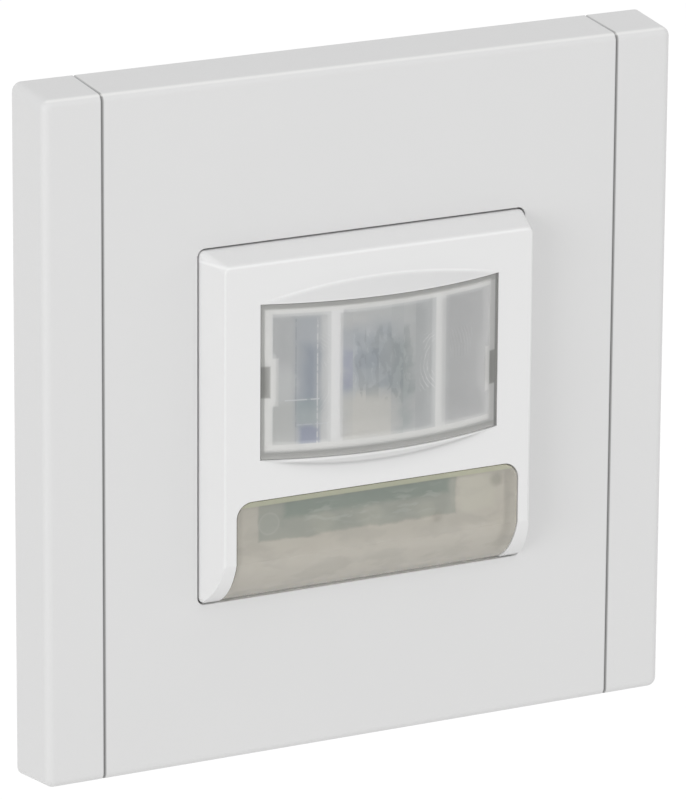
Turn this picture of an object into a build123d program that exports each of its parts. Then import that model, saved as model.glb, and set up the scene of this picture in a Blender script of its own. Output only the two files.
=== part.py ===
from build123d import *
import math
import os

# A motion sensor light switch for a flush wall box, in millimetres.
# X points right, Z up and Y into the wall. The wall surface is y = 0, and the origin lies
# midway between the two box screws. Distances called back and front are measured from the
# wall surface towards the room, so they are negative inside the wall box.

os.makedirs("parts", exist_ok=True)

# Clearances and small working lengths
overrun = 1.0
fit_gap = 0.1
slide_gap = 0.15

# Cover plate and its side strips
plate_width = 87.2
plate_height = 88.2
plate_depth = 8.0
plate_wall = 2.0
rim_wall = 1.6
side_draft = 0.33
end_draft = 0.7
plate_round = 1.0
corner_round = 1.2
seam_round = 0.22
strip_width = 8.15
opening_gap = 0.25
sleeve_wall = 1.4
sleeve_back = 2.9
rib_thickness = 1.0
rib_back = 3.4
tab_width = 6.0
tab_thickness = 1.2
tab_reach = 2.6
tab_back = 3.0
tab_spacing = 30.0

# Insert cover
insert_side = 45.0
cover_proud = 4.65
cover_chamfer = 1.2
cover_corner = 0.8
cover_edge_round = 0.35
cover_wall = 1.6
skirt_back = 3.0
nose_height = 5.9
nose_radius = 9.8
foot_back = 6.0
key_bay_wall_back = 9.5

# Sensor window, its bulged lips and the lens
window_side_margin = 6.0
window_top_margin = 6.3
window_bridge = 5.1
lens_bulge = 3.0
upper_lip_rise = 1.7
lower_lip_drop = 2.1
lens_gap = 0.1
lens_wall = 0.7
lens_rim = 0.75
flange_reach = 1.0
flange_thickness = 1.2
lug_height = 4.3
lug_reach = 0.6
left_lug_drop = 0.2
right_lug_drop = 1.8

# Upright facets on the inside of the lens
facet_count = 7
facet_pitch = 1.72
facet_depth = 0.25

# Inner frame behind the lens
frame_border = 1.0
frame_bar_depth = 1.5
frame_back = 8.6
upright_width = 1.6
upright_spacing = 14.2
notch_margin = 1.0

# Key
key_side_margin = 2.95
key_height = 13.8
key_wall = 1.2
key_recess = 0.1
key_corner = 2.1
key_back = 7.0
key_top_back = 9.3
pivot_diameter = 1.4
pivot_drop = 1.9
pivot_depth = 1.75
pivot_length = 0.9
key_post_diameter = 1.6
key_post_round = 0.5

# Carrier frame
carrier_gap = 0.2
carrier_wall = 1.4
carrier_front = 5.6
carrier_lip = 1.5
carrier_flange_thickness = 1.4
spigot_back = -6.0
spigot_wall = 1.3
snap_width = 5.0
snap_height = 1.2
snap_reach = 0.35
snap_spacing = 18.0
board_post_side = 2.4
locating_pin_diameter = 1.6
locating_pin_side_inset = 2.5
locating_pin_top_inset = 2.6

# Support frame of steel sheet, as wide as the cover plate's centre panel
sheet_cover = 0.45
sheet_height = 70.0
sheet_thickness = 1.2
sheet_corner = 3.0
screw_spacing = 60.0
screw_slot_width = 3.8
screw_slot_length = 7.0
hook_lug_width = 8.0
hook_lug_front = 5.2
hook_lug_spacing = 30.0
hook_lug_inset = 3.5
hook_window_width = 5.0
hook_window_height = 1.6
hook_window_back = 2.6
hook_thickness = 1.4
hook_barb = 0.7
relief_hole_diameter = 3.0
relief_hole_inset = 7.0

# Sensor board and what it carries
board_thickness = 1.2
board_front = 5.0
board_margin = 1.3
board_foot_margin = 2.1
board_shoulder_drop = 2.7
tongue_width = 27.6
board_corner = 0.8
setting_lift = 2.6
led_x = -12.0
time_x = -5.0
light_x = 1.6
switch_x = 8.8
trimmer_side = 4.2
trimmer_height = 1.5
dial_diameter = 3.2
dial_height = 0.9
dial_slot = 0.5
dial_slot_depth = 0.4
dial_boss = 1.2
led_diameter = 3.3
led_flange = 3.9
led_height = 2.2
switch_side = 5.6
switch_height = 3.2
plunger_diameter = 2.4
plunger_proud = 0.9
plunger_sunk = 1.2
plunger_travel_room = 0.5
sensor_diameter = 8.2
sensor_flange_diameter = 9.1
sensor_flange = 0.6
sensor_height = 4.2
sensor_edge_round = 0.5
sensor_pane_width = 4.0
sensor_pane_height = 3.0
sensor_pane_depth = 0.4
sensor_aperture_margin = 0.3
lead_diameter = 0.5
lead_length = 2.4
lead_circle = 5.1
light_sensor_diameter = 3.0
light_sensor_height = 3.5
light_sensor_inset = 5.5
chip_width = 6.0
chip_length = 5.0
chip_height = 1.6
chip_side_inset = 6.5
chip_top_inset = 8.0
header_pins = 6
header_pitch = 2.0
header_width = 2.4
header_rise = -6.0
pin_side = 0.5
pin_proud = 1.0

# Rear housing
housing_side = 45.7
housing_corner = 7.0
housing_wall = 1.4
housing_ledge = 1.2
housing_depth = 27.0
housing_round = 1.0

# Power board and what it carries
power_board_thickness = 1.5
relay_width = 15.4
relay_height = 20.2
relay_depth = 10.2
relay_side_inset = 4.25
relay_top_inset = 4.05
can_round = 0.5
film_width = 6.0
film_height = 13.0
film_depth = 12.0
film_gap = 1.9
film_top_inset = 3.85
cap_diameter = 8.0
cap_length = 12.0
cap_spacing = 9.0
cap_side_inset = 4.75
cap_top_inset = 3.85
cap_groove = 0.35
cap_groove_width = 0.8
varistor_diameter = 9.0
varistor_thickness = 3.6
varistor_side_inset = 2.85
varistor_lift = 1.5
varistor_drop = 1.6
fuse_diameter = 5.0
fuse_length = 9.0
fuse_cap_length = 1.8
fuse_cap_lip = 0.2
fuse_lift = 1.0
fuse_drop = 4.6

# Terminals
pole_count = 3
pole_pitch = 9.0
terminal_height = 11.5
terminal_margin = 1.3
terminal_foot_inset = 2.75
wire_hole_diameter = 3.2
wire_hole_flare = 0.5
screw_hole_diameter = 4.4
clamp_width = 6.4
clamp_height = 9.0
clamp_depth = 6.0
clamp_setback = 3.4
clamp_bore = 2.6
screw_head_diameter = 4.0
screw_head_height = 1.8
screw_shank_diameter = 2.5
screw_length = 5.0
screw_slot = 0.6
screw_slot_depth = 0.8
screw_slot_turn = 35.0

# Places worked out from the sizes above
half_width = plate_width / 2
half_height = plate_height / 2
seam = half_width - strip_width
half_insert = insert_side / 2
half_opening = half_insert + opening_gap
front_plane = plate_depth + cover_proud
key_rise = key_height - half_insert
half_window = half_insert - window_side_margin
window_top = half_insert - window_top_margin
window_low = key_rise + window_bridge
window_rise = (window_top + window_low) / 2
lens_crown = front_plane + lens_bulge
bulge_radius = (half_window**2 + lens_bulge**2) / (2 * lens_bulge)
bulge_centre = lens_crown - bulge_radius
cover_inside = front_plane - cover_wall
nose_top = -half_insert + nose_height
key_top = key_rise - slide_gap
half_key = half_insert - key_side_margin
half_bay = half_key + slide_gap
key_front = front_plane - key_recess
key_low = -half_insert + slide_gap
pivot_rise = key_top - pivot_drop
pivot_front = key_front - pivot_depth
carrier_side = insert_side - 2 * cover_wall - 2 * carrier_gap
tray_half = carrier_side / 2 - carrier_wall
board_back = board_front - board_thickness
board_width = 2 * (tray_half - board_margin)
board_top = tray_half - board_margin
board_low = board_foot_margin - tray_half
board_shoulder = key_rise - board_shoulder_drop
locating_pin_x = board_width / 2 - locating_pin_side_inset
locating_pin_rise = board_top - locating_pin_top_inset
light_sensor_x = light_sensor_inset - half_window
chip_x = board_width / 2 - chip_side_inset
chip_rise = board_top - chip_top_inset
setting_row = board_low + setting_lift
plunger_tip = board_front + switch_height + plunger_proud
ledge = spigot_back - fit_gap - power_board_thickness
housing_back = -housing_depth
housing_hollow = housing_side - 2 * housing_wall
hollow_corner = housing_corner - housing_wall * (2 - math.sqrt(2))
ledge_hollow = housing_hollow - 2 * housing_ledge
spigot_side = housing_hollow - 2 * fit_gap
sheet_opening = spigot_side + 2 * slide_gap
sheet_width = 2 * (seam - sheet_cover)
hook_lug_offset = sheet_height / 2 - hook_lug_inset
half_power_board = housing_hollow / 2 - fit_gap
relay_x = relay_side_inset + relay_width / 2 - half_power_board
relay_rise = half_power_board - relay_top_inset - relay_height / 2
film_x = relay_x + relay_width / 2 + film_gap + film_width / 2
film_rise = half_power_board - film_top_inset - film_height / 2
cap_x = half_power_board - cap_side_inset - cap_diameter / 2
cap_rise = half_power_board - cap_top_inset - cap_diameter / 2 - cap_spacing / 2
varistor_x = half_power_board - varistor_side_inset - varistor_diameter / 2
varistor_rise = cap_rise - cap_spacing / 2 - cap_diameter / 2 - varistor_drop - varistor_thickness / 2
fuse_rise = film_rise - film_height / 2 - fuse_drop - fuse_diameter / 2
terminal_low = terminal_foot_inset - half_power_board

# Side views run (front, z), with +X away from the eye. Top views run (x, front), extruding down.
side_view = Plane(origin=(0, 0, 0), x_dir=(0, -1, 0), z_dir=(-1, 0, 0))
top_view = Plane(origin=(0, 0, 0), x_dir=(1, 0, 0), z_dir=(0, 0, -1))


def ahead(distance):
    """The plane parallel to the wall at this distance in front of it."""
    return Plane.XZ.offset(distance)


def span(left, right, low, high, back, front):
    """A straight block given by its six sides, used for pockets, pads and walls."""
    with BuildPart() as made:
        with BuildSketch(ahead(back)):
            with Locations(((left + right) / 2, (low + high) / 2)):
                Rectangle(right - left, high - low)
        extrude(amount=front - back)
    return made.part


def drafted(left, right, left_draft, right_draft, inset, front):
    """A slice of the plate's outer form, narrowing towards the room, set in by inset."""
    with BuildPart() as made:
        with BuildSketch(ahead(0)):
            with Locations(((left + right) / 2, 0)):
                Rectangle(right - left, plate_height - 2 * inset)
        with BuildSketch(ahead(front)):
            with Locations(((left + left_draft + right - right_draft) / 2, 0)):
                Rectangle(
                    right - right_draft - left - left_draft,
                    plate_height - 2 * inset - 2 * end_draft,
                )
        loft()
    return made.part


def chamfered(side, corner, back, front):
    """A square prism with its four upright corners cut off."""
    with BuildPart() as made:
        with BuildSketch(ahead(back)) as outline:
            Rectangle(side, side)
            chamfer(outline.vertices(), corner)
        extrude(amount=front - back)
    return made.part


# Cover plate: a shell with a sleeve round the opening, ribs, hooks and slots for the strips
hook_inner = hook_lug_offset + sheet_thickness + fit_gap
with BuildPart() as cover_plate:
    add(drafted(-seam, seam, 0, 0, 0, plate_depth))
    front_face = cover_plate.faces().sort_by(Axis.Y)[0]
    fillet(front_face.edges().filter_by(Axis.X), plate_round)
    fillet(cover_plate.faces().sort_by(Axis.X)[0].edges().filter_by(Axis.Y, reverse=True), seam_round)
    fillet(cover_plate.faces().sort_by(Axis.X)[-1].edges().filter_by(Axis.Y, reverse=True), seam_round)
    add(
        drafted(-seam + rim_wall, seam - rim_wall, 0, 0, rim_wall, plate_depth - plate_wall),
        mode=Mode.SUBTRACT,
    )
    with BuildSketch(ahead(sleeve_back)):
        Rectangle(2 * (half_opening + sleeve_wall), 2 * (half_opening + sleeve_wall))
    extrude(amount=plate_depth - plate_wall - sleeve_back)
    for side in (-1, 1):
        for level in (-1, 1):
            rib_x = side * (half_opening - rib_thickness)
            rib_start = half_opening + sleeve_wall - overrun
            rib_end = half_height - end_draft - rim_wall
            low, high = sorted((level * rib_start, level * rib_end))
            add(span(rib_x - rib_thickness / 2, rib_x + rib_thickness / 2, low, high,
                     rib_back, plate_depth - plate_wall))
            hook_x = side * hook_lug_spacing / 2
            with BuildSketch(side_view.offset(-hook_x)):
                with BuildLine():
                    Polyline(
                        (plate_depth - plate_wall, level * hook_inner),
                        (hook_window_back + hook_window_height - fit_gap, level * hook_inner),
                        (hook_window_back + hook_window_height - fit_gap, level * (hook_inner - hook_barb)),
                        (hook_window_back + fit_gap, level * hook_inner),
                        (hook_window_back + fit_gap, level * (hook_inner + hook_thickness)),
                        (plate_depth - plate_wall, level * (hook_inner + hook_thickness)),
                        close=True,
                    )
                make_face()
            extrude(amount=(hook_window_width - 2 * slide_gap) / 2, both=True)
        for step in (-1, 0, 1):
            slot_z = step * tab_spacing
            left, right = sorted((side * (seam - rim_wall - overrun), side * (seam + overrun)))
            add(
                span(left, right, slot_z - tab_width / 2 - fit_gap, slot_z + tab_width / 2 + fit_gap,
                     tab_back - fit_gap, tab_back + tab_thickness + fit_gap),
                mode=Mode.SUBTRACT,
            )
        left, right = sorted((side * (seam - rim_wall - overrun), side * (seam + overrun)))
        add(
            span(left, right, -sheet_height / 2 - slide_gap, sheet_height / 2 + slide_gap,
                 -overrun, sheet_thickness + slide_gap),
            mode=Mode.SUBTRACT,
        )
    with BuildSketch(ahead(sleeve_back - overrun)):
        RectangleRounded(2 * half_opening, 2 * half_opening, cover_corner + opening_gap)
    extrude(amount=plate_depth + overrun, mode=Mode.SUBTRACT)
cover_plate.part.label = "cover_plate"

# Side strips: hollow mouldings whose tabs clip through the cover plate's side walls
strips = {}
for name, side in (("left_strip", -1), ("right_strip", 1)):
    with BuildPart() as strip:
        if side > 0:
            add(drafted(seam, half_width, 0, side_draft, 0, plate_depth))
        else:
            add(drafted(-half_width, -seam, side_draft, 0, 0, plate_depth))
        outer_face = strip.faces().sort_by(Axis.X)[-1 if side > 0 else 0]
        ends =outer_face.edges().filter_by(lambda edge: abs(edge.tangent_at(0.5).Y) > 0.9)
        fillet(ends, corner_round)
        front_face = strip.faces().sort_by(Axis.Y)[0]
        seam_edge = front_face.edges().filter_by(Axis.Z).sort_by(Axis.X)[0 if side > 0 else -1]
        round_edges = [edge for edge in front_face.edges() if edge.center() != seam_edge.center()]
        fillet(round_edges, plate_round)
        seam_face = strip.faces().sort_by(Axis.X)[0 if side > 0 else -1]
        fillet(seam_face.edges().filter_by(Axis.Y, reverse=True), seam_round)
        inner = half_width - rim_wall
        if side > 0:
            hollow = drafted(seam + rim_wall, inner, 0, side_draft, rim_wall, plate_depth - plate_wall)
        else:
            hollow = drafted(-inner, -seam - rim_wall, side_draft, 0, rim_wall, plate_depth - plate_wall)
        add(hollow, mode=Mode.SUBTRACT)
        for step in (-1, 0, 1):
            slot_z = step * tab_spacing
            root = side * (seam + rim_wall / 2)
            tip = side * (seam - tab_reach)
            left, right = sorted((root, tip))
            add(span(left, right, slot_z - tab_width / 2, slot_z + tab_width / 2,
                     tab_back, tab_back + tab_thickness))
            barb_x = side * (seam - rim_wall - fit_gap)
            with BuildSketch(top_view.offset(-slot_z)):
                with BuildLine():
                    Polyline(
                        (barb_x, tab_back + tab_thickness),
                        (barb_x, tab_back + tab_thickness + snap_reach),
                        (tip, tab_back + tab_thickness),
                        close=True,
                    )
                make_face()
            extrude(amount=tab_width / 4, both=True)
    strip.part.label = name
    strips[name] = strip


def lip_face(edge, lip):
    """The area from the middle of the window out to one of its bowed lips, seen from the room."""
    with BuildSketch() as made:
        with BuildLine():
            Polyline((-half_window, edge), (-half_window, window_rise), (half_window, window_rise),
                     (half_window, edge))
            ThreePointArc((half_window, edge), (0, edge + lip), (-half_window, edge))
        make_face()
    return made.sketch_local


# Insert cover: chamfered front, rounded nose, bulged lips, window and key bay
with BuildPart() as lips:
    for edge, lip in ((window_top, upper_lip_rise), (window_low, -lower_lip_drop)):
        with BuildSketch(ahead(cover_inside)):
            add(lip_face(edge, lip))
        extrude(amount=cover_wall)
        with BuildSketch(ahead(front_plane)):
            add(lip_face(edge, lip))
        extrude(amount=math.hypot(lens_bulge, lip) * (lens_bulge + overrun) / lens_bulge,
                dir=(0, -lens_bulge, -lip))
    with BuildSketch(top_view.offset(-window_top - upper_lip_rise)):
        with BuildLine():
            Polyline((-half_window, front_plane), (-half_window, cover_inside),
                     (half_window, cover_inside), (half_window, front_plane))
            ThreePointArc((half_window, front_plane), (0, lens_crown), (-half_window, front_plane))
        make_face()
    extrude(amount=window_top - window_low + upper_lip_rise + lower_lip_drop, mode=Mode.INTERSECT)

with BuildPart() as front_cover:
    with BuildSketch(ahead(skirt_back)):
        RectangleRounded(insert_side, insert_side, cover_corner)
    extrude(amount=plate_depth - skirt_back)
    with BuildSketch(ahead(plate_depth)):
        RectangleRounded(insert_side, insert_side, cover_corner)
    with BuildSketch(ahead(front_plane)):
        with Locations((0, -cover_chamfer / 2)):
            RectangleRounded(insert_side - 2 * cover_chamfer, insert_side - cover_chamfer, cover_corner)
    loft()
    with BuildSketch(side_view):
        with BuildLine():
            nose = RadiusArc((front_plane, nose_top), (plate_depth, -half_insert), nose_radius)
            Polyline((plate_depth, -half_insert), (plate_depth, -half_insert - overrun),
                     (front_plane + overrun, -half_insert - overrun),
                     (front_plane + overrun, nose_top), (front_plane, nose_top))
        make_face()
    extrude(amount=half_insert + overrun, both=True, mode=Mode.SUBTRACT)
    front_face = front_cover.faces().sort_by(Axis.Y)[0]
    fillet(front_face.edges(), cover_edge_round)
    inside = half_insert - cover_wall
    add(span(-inside, inside, key_rise + rib_thickness, inside, skirt_back - overrun, cover_inside),
        mode=Mode.SUBTRACT)
    add(span(-inside, inside, -inside, inside, skirt_back - overrun, foot_back), mode=Mode.SUBTRACT)
    add(span(-half_bay, half_bay, -inside, key_rise + overrun + rib_thickness,
             skirt_back - overrun, key_bay_wall_back), mode=Mode.SUBTRACT)
    with BuildSketch(ahead(foot_back)) as key_bay:
        with Locations((0, (key_rise - half_insert - overrun) / 2)):
            Rectangle(2 * half_bay, key_rise + half_insert + overrun)
        fillet(key_bay.vertices().group_by(Axis.Y)[-1], key_corner)
    extrude(amount=front_plane + overrun - foot_back, mode=Mode.SUBTRACT)
    add(lips.part)
    add(span(-half_window, half_window, window_low, window_top, skirt_back, lens_crown + overrun),
        mode=Mode.SUBTRACT)
    for side in (-1, 1):
        with BuildSketch(side_view.offset(-side * (half_bay - overrun))):
            with Locations((pivot_front, pivot_rise)):
                Circle(pivot_diameter / 2 + fit_gap / 2)
        extrude(amount=-side * (overrun + pivot_length + fit_gap), mode=Mode.SUBTRACT)
        for level in (-1, 1):
            snap_z = level * snap_spacing / 2
            with BuildSketch(top_view.offset(-snap_z)):
                with BuildLine():
                    Polyline(
                        (side * inside, skirt_back + snap_height / 2),
                        (side * (inside - snap_reach), skirt_back + snap_height),
                        (side * inside, skirt_back + 3 * snap_height / 2),
                        close=True,
                    )
                make_face()
            extrude(amount=snap_width / 2, both=True)
front_cover.part.label = "front_cover"

# Fresnel lens: a curved milky cap with a rim, a flange behind the cover and two side lugs
lens_half = half_window - lens_gap
lens_top = window_top - lens_gap
lens_low = window_low + lens_gap
lens_radius = bulge_radius - lens_gap
flange_front = cover_inside - fit_gap
flange_back = flange_front - flange_thickness


def crescent(radius, half, back):
    """The area under the lens curve in the top view, out to half the width and back to back."""
    with BuildSketch() as made:
        with Locations((0, bulge_centre)):
            Circle(radius)
        with Locations((0, back + radius)):
            Rectangle(2 * half, 2 * radius, mode=Mode.INTERSECT)
    return made.sketch_local


with BuildPart() as fresnel_lens:
    with BuildSketch(top_view.offset(-lens_top)):
        add(crescent(lens_radius, lens_half, flange_back))
    extrude(amount=lens_top - lens_low)
    add(span(-lens_half - flange_reach, lens_half + flange_reach, lens_low - flange_reach,
             lens_top + flange_reach, flange_back, flange_front))
    with BuildSketch(top_view.offset(-lens_top + lens_rim)):
        add(crescent(lens_radius - lens_wall, lens_half - lens_rim, flange_back - overrun))
    extrude(amount=lens_top - lens_low - 2 * lens_rim, mode=Mode.SUBTRACT)
    for side, drop in ((-1, left_lug_drop), (1, right_lug_drop)):
        lug_rise = window_rise - drop
        left, right = sorted((side * (lens_half - lens_rim), side * (lens_half - lens_rim - lug_reach)))
        add(span(left, right, lug_rise - lug_height / 2, lug_rise + lug_height / 2,
                 flange_back, front_plane - lens_wall))
    inner_radius = lens_radius - lens_wall
    for step in range(facet_count + 1):
        facet_x = (step - facet_count / 2) * facet_pitch
        depth = bulge_centre + math.sqrt(inner_radius**2 - facet_x**2)
        with BuildSketch(top_view.offset(-lens_top + lens_rim)):
            with BuildLine():
                Polyline(
                    (facet_x - facet_depth / 2, depth - facet_depth),
                    (facet_x, depth + facet_depth),
                    (facet_x + facet_depth / 2, depth - facet_depth),
                    close=True,
                )
            make_face()
        extrude(amount=lens_top - lens_low - 2 * lens_rim, mode=Mode.SUBTRACT)
fresnel_lens.part.label = "fresnel_lens"

# Inner frame: white walls and two uprights that divide the lens into three fields
frame_half = lens_half - lens_rim - fit_gap
frame_top = lens_top - lens_rim - fit_gap
frame_low = lens_low + lens_rim + fit_gap
frame_radius = lens_radius - lens_wall - fit_gap - facet_depth
with BuildPart() as lens_frame:
    with BuildSketch(top_view.offset(-frame_top)):
        add(crescent(frame_radius, frame_half, frame_back))
    extrude(amount=frame_top - frame_low)
    field_edges = (
        -frame_half + frame_border,
        -upright_spacing / 2 - upright_width / 2,
        -upright_spacing / 2 + upright_width / 2,
        upright_spacing / 2 - upright_width / 2,
        upright_spacing / 2 + upright_width / 2,
        frame_half - frame_border,
    )
    for left, right in zip(field_edges[::2], field_edges[1::2]):
        add(span(left, right, frame_low + frame_border, frame_top - frame_border,
                 frame_back - overrun, lens_crown + overrun), mode=Mode.SUBTRACT)
    with BuildSketch(top_view.offset(-frame_top + frame_border)):
        add(crescent(frame_radius - frame_bar_depth, frame_half - frame_border, frame_back - overrun))
    extrude(amount=frame_top - frame_low - 2 * frame_border, mode=Mode.SUBTRACT)
    for side, drop in ((-1, left_lug_drop), (1, right_lug_drop)):
        lug_rise = window_rise - drop
        notch = lug_height / 2 + fit_gap
        lug_side = side * (frame_half - lug_reach)
        left, right = sorted((lug_side, lug_side - side * frame_border))
        add(span(left, right, lug_rise - notch - notch_margin, lug_rise + notch + notch_margin,
                 frame_back, front_plane - lens_wall - fit_gap))
        left, right = sorted((side * (frame_half + overrun), lug_side))
        add(span(left, right, lug_rise - notch, lug_rise + notch, frame_back - overrun, lens_crown),
            mode=Mode.SUBTRACT)
lens_frame.part.label = "lens_frame"

# Override key: a hollow translucent shell with two pivot pins and a post that meets the plunger
with BuildPart() as override_key:
    with BuildSketch(side_view) as key_profile:
        with BuildLine():
            RadiusArc((key_front, nose_top), (plate_depth, key_low), nose_radius - key_recess)
            Polyline((plate_depth, key_low), (key_back - key_wall, key_low),
                     (key_back - key_wall, key_top), (key_front, key_top), (key_front, nose_top))
        make_face()
    extrude(amount=half_key, both=True)
    top_ends = override_key.faces().sort_by(Axis.Z)[-1].edges().filter_by(Axis.Y)
    fillet(top_ends, key_corner)
    with BuildSketch(side_view):
        add(key_profile.sketch_local)
        offset(amount=-key_wall, kind=Kind.INTERSECTION)
    extrude(amount=half_key - key_wall, both=True, mode=Mode.SUBTRACT)
    add(span(-half_key - overrun, half_key + overrun, key_low - overrun, key_top + overrun,
             key_back - key_wall - overrun, key_back), mode=Mode.SUBTRACT)
    add(span(-half_key - overrun, half_key + overrun, pivot_rise - pivot_diameter, key_top + overrun,
             key_back - overrun, key_top_back), mode=Mode.SUBTRACT)
    for side in (-1, 1):
        with BuildSketch(side_view.offset(-side * (half_key - key_wall / 2))):
            with Locations((pivot_front, pivot_rise)):
                Circle(pivot_diameter / 2)
        extrude(amount=-side * (key_wall / 2 + pivot_length))
    with BuildSketch(ahead(plunger_tip + fit_gap)):
        with Locations((switch_x, setting_row)):
            Circle(key_post_diameter / 2)
    extrude(amount=key_front - key_wall / 2 - plunger_tip - fit_gap)
    post_tip = override_key.faces().filter_by(Axis.Y).filter_by(
        lambda face: abs(face.center().Y + plunger_tip + fit_gap) < fit_gap / 2)
    fillet(post_tip.edges(), key_post_round)
override_key.part.label = "override_key"

# Carrier frame: a tray for the sensor board, a flange on the steel sheet and a spigot behind it
header_x = (header_pins - 1) * header_pitch / 2
with BuildPart() as carrier_frame:
    with BuildSketch(ahead(sheet_thickness)):
        RectangleRounded(sheet_opening + 2 * carrier_lip, sheet_opening + 2 * carrier_lip, cover_corner)
    extrude(amount=carrier_flange_thickness)
    with BuildSketch(ahead(sheet_thickness)):
        RectangleRounded(carrier_side, carrier_side, cover_corner)
    extrude(amount=carrier_front - sheet_thickness)
    add(chamfered(spigot_side, hollow_corner, spigot_back, sheet_thickness))
    floor_front = sheet_thickness + carrier_flange_thickness
    add(span(-tray_half, tray_half, -tray_half, tray_half, floor_front, carrier_front + overrun),
        mode=Mode.SUBTRACT)
    add(chamfered(spigot_side - 2 * spigot_wall, hollow_corner, spigot_back - overrun, sheet_thickness),
        mode=Mode.SUBTRACT)
    for side in (-1, 1):
        post_left = side * (board_width / 2 - board_post_side / 2)
        for level in (board_top - board_post_side / 2, board_shoulder + board_post_side / 2):
            with BuildSketch(ahead(sheet_thickness)):
                with Locations((post_left, level)):
                    Rectangle(board_post_side, board_post_side)
            extrude(amount=board_back - sheet_thickness)
        with BuildSketch(ahead(sheet_thickness)):
            with Locations((side * (tongue_width - board_post_side) / 2, board_low + board_post_side / 2)):
                Rectangle(board_post_side, board_post_side)
        extrude(amount=board_back - sheet_thickness)
        with BuildSketch(ahead(sheet_thickness)):
            with Locations((side * locating_pin_x, locating_pin_rise)):
                Circle(locating_pin_diameter / 2)
        extrude(amount=board_front + locating_pin_diameter / 2 - sheet_thickness)
        for level in (-1, 1):
            snap_z = level * snap_spacing / 2
            left, right = sorted((side * (tray_half - overrun), side * (carrier_side / 2 + overrun)))
            add(span(left, right, snap_z - snap_width / 2 - fit_gap, snap_z + snap_width / 2 + fit_gap,
                     skirt_back + snap_height / 2 - fit_gap, skirt_back + 3 * snap_height / 2 + fit_gap),
                mode=Mode.SUBTRACT)
            with BuildSketch(top_view.offset(-snap_z)):
                with BuildLine():
                    Polyline(
                        (side * spigot_side / 2, -snap_height / 2),
                        (side * (spigot_side / 2 + snap_reach), -snap_height),
                        (side * spigot_side / 2, -3 * snap_height),
                        close=True,
                    )
                make_face()
            extrude(amount=snap_width / 2, both=True)
    add(span(-header_x - header_pitch, header_x + header_pitch, header_rise - header_width,
             header_rise + header_width, -overrun, floor_front + overrun), mode=Mode.SUBTRACT)
carrier_frame.part.label = "carrier_frame"

# Support frame: steel sheet with screw slots and four bent lugs that hold the cover plate's hooks
with BuildPart() as support_frame:
    with BuildSketch(ahead(0)):
        RectangleRounded(sheet_width, sheet_height, sheet_corner)
        Rectangle(sheet_opening, sheet_opening, mode=Mode.SUBTRACT)
        with PolarLocations(screw_spacing / 2, 4):
            SlotOverall(screw_slot_length, screw_slot_width, mode=Mode.SUBTRACT)
        with GridLocations(sheet_width - 2 * relief_hole_inset, sheet_height - 2 * relief_hole_inset, 2, 2):
            Circle(relief_hole_diameter / 2, mode=Mode.SUBTRACT)
    extrude(amount=sheet_thickness)
    for side in (-1, 1):
        for level in (-1, 1):
            lug_x = side * hook_lug_spacing / 2
            low, high = sorted((level * hook_lug_offset, level * (hook_lug_offset + sheet_thickness)))
            add(span(lug_x - hook_lug_width / 2, lug_x + hook_lug_width / 2, low, high,
                     0, hook_lug_front))
            add(span(lug_x - hook_window_width / 2, lug_x + hook_window_width / 2,
                     low - overrun / 2, high + overrun / 2, hook_window_back,
                     hook_window_back + hook_window_height), mode=Mode.SUBTRACT)
support_frame.part.label = "support_frame"

# Sensor board: a green board with a tongue that reaches down behind the key
with BuildPart() as sensor_board:
    with BuildSketch(ahead(board_back)) as board_outline:
        with BuildLine():
            Polyline(
                (-board_width / 2, board_top),
                (-board_width / 2, board_shoulder),
                (-tongue_width / 2, board_shoulder),
                (-tongue_width / 2, board_low),
                (tongue_width / 2, board_low),
                (tongue_width / 2, board_shoulder),
                (board_width / 2, board_shoulder),
                (board_width / 2, board_top),
                close=True,
            )
        make_face()
        fillet(board_outline.vertices(), board_corner)
        with GridLocations(2 * locating_pin_x, 0, 2, 1):
            with Locations((0, locating_pin_rise)):
                Circle(locating_pin_diameter / 2 + fit_gap, mode=Mode.SUBTRACT)
        with Locations((0, window_rise)):
            with PolarLocations(lead_circle / 2, 3, start_angle=90):
                Circle(lead_diameter / 2 + fit_gap, mode=Mode.SUBTRACT)
        with Locations((0, header_rise)):
            with GridLocations(header_pitch, 0, header_pins, 1):
                Rectangle(pin_side + 2 * fit_gap, pin_side + 2 * fit_gap, mode=Mode.SUBTRACT)
    extrude(amount=board_thickness)
sensor_board.part.label = "sensor_board"

# Infrared sensor: a metal can on three leads, open at the front round its filter pane
with BuildPart() as pir_sensor:
    with BuildSketch(side_view):
        with BuildLine():
            Polyline(
                (board_front, window_rise),
                (board_front, window_rise + sensor_flange_diameter / 2),
                (board_front + sensor_flange, window_rise + sensor_flange_diameter / 2),
                (board_front + sensor_flange, window_rise + sensor_diameter / 2),
                (board_front + sensor_height, window_rise + sensor_diameter / 2),
                (board_front + sensor_height, window_rise),
                close=True,
            )
        make_face()
    revolve(axis=Axis((0, 0, window_rise), (0, 1, 0)))
    rim = pir_sensor.faces().sort_by(Axis.Y)[0].edges()
    fillet(rim, sensor_edge_round)
    can_front = board_front + sensor_height
    pane_half = sensor_pane_width / 2
    aperture_half = pane_half - sensor_aperture_margin
    aperture_rise = sensor_pane_height / 2 - sensor_aperture_margin
    add(span(-pane_half, pane_half, window_rise - sensor_pane_height / 2,
             window_rise + sensor_pane_height / 2, can_front - 2 * sensor_pane_depth,
             can_front - sensor_pane_depth), mode=Mode.SUBTRACT)
    add(span(-aperture_half, aperture_half, window_rise - aperture_rise, window_rise + aperture_rise,
             can_front - sensor_pane_depth - fit_gap, can_front + overrun), mode=Mode.SUBTRACT)
    with BuildSketch(ahead(board_front)):
        with Locations((0, window_rise)):
            with PolarLocations(lead_circle / 2, 3, start_angle=90):
                Circle(lead_diameter / 2)
    extrude(amount=-lead_length)
pir_sensor.part.label = "pir_sensor"

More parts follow.
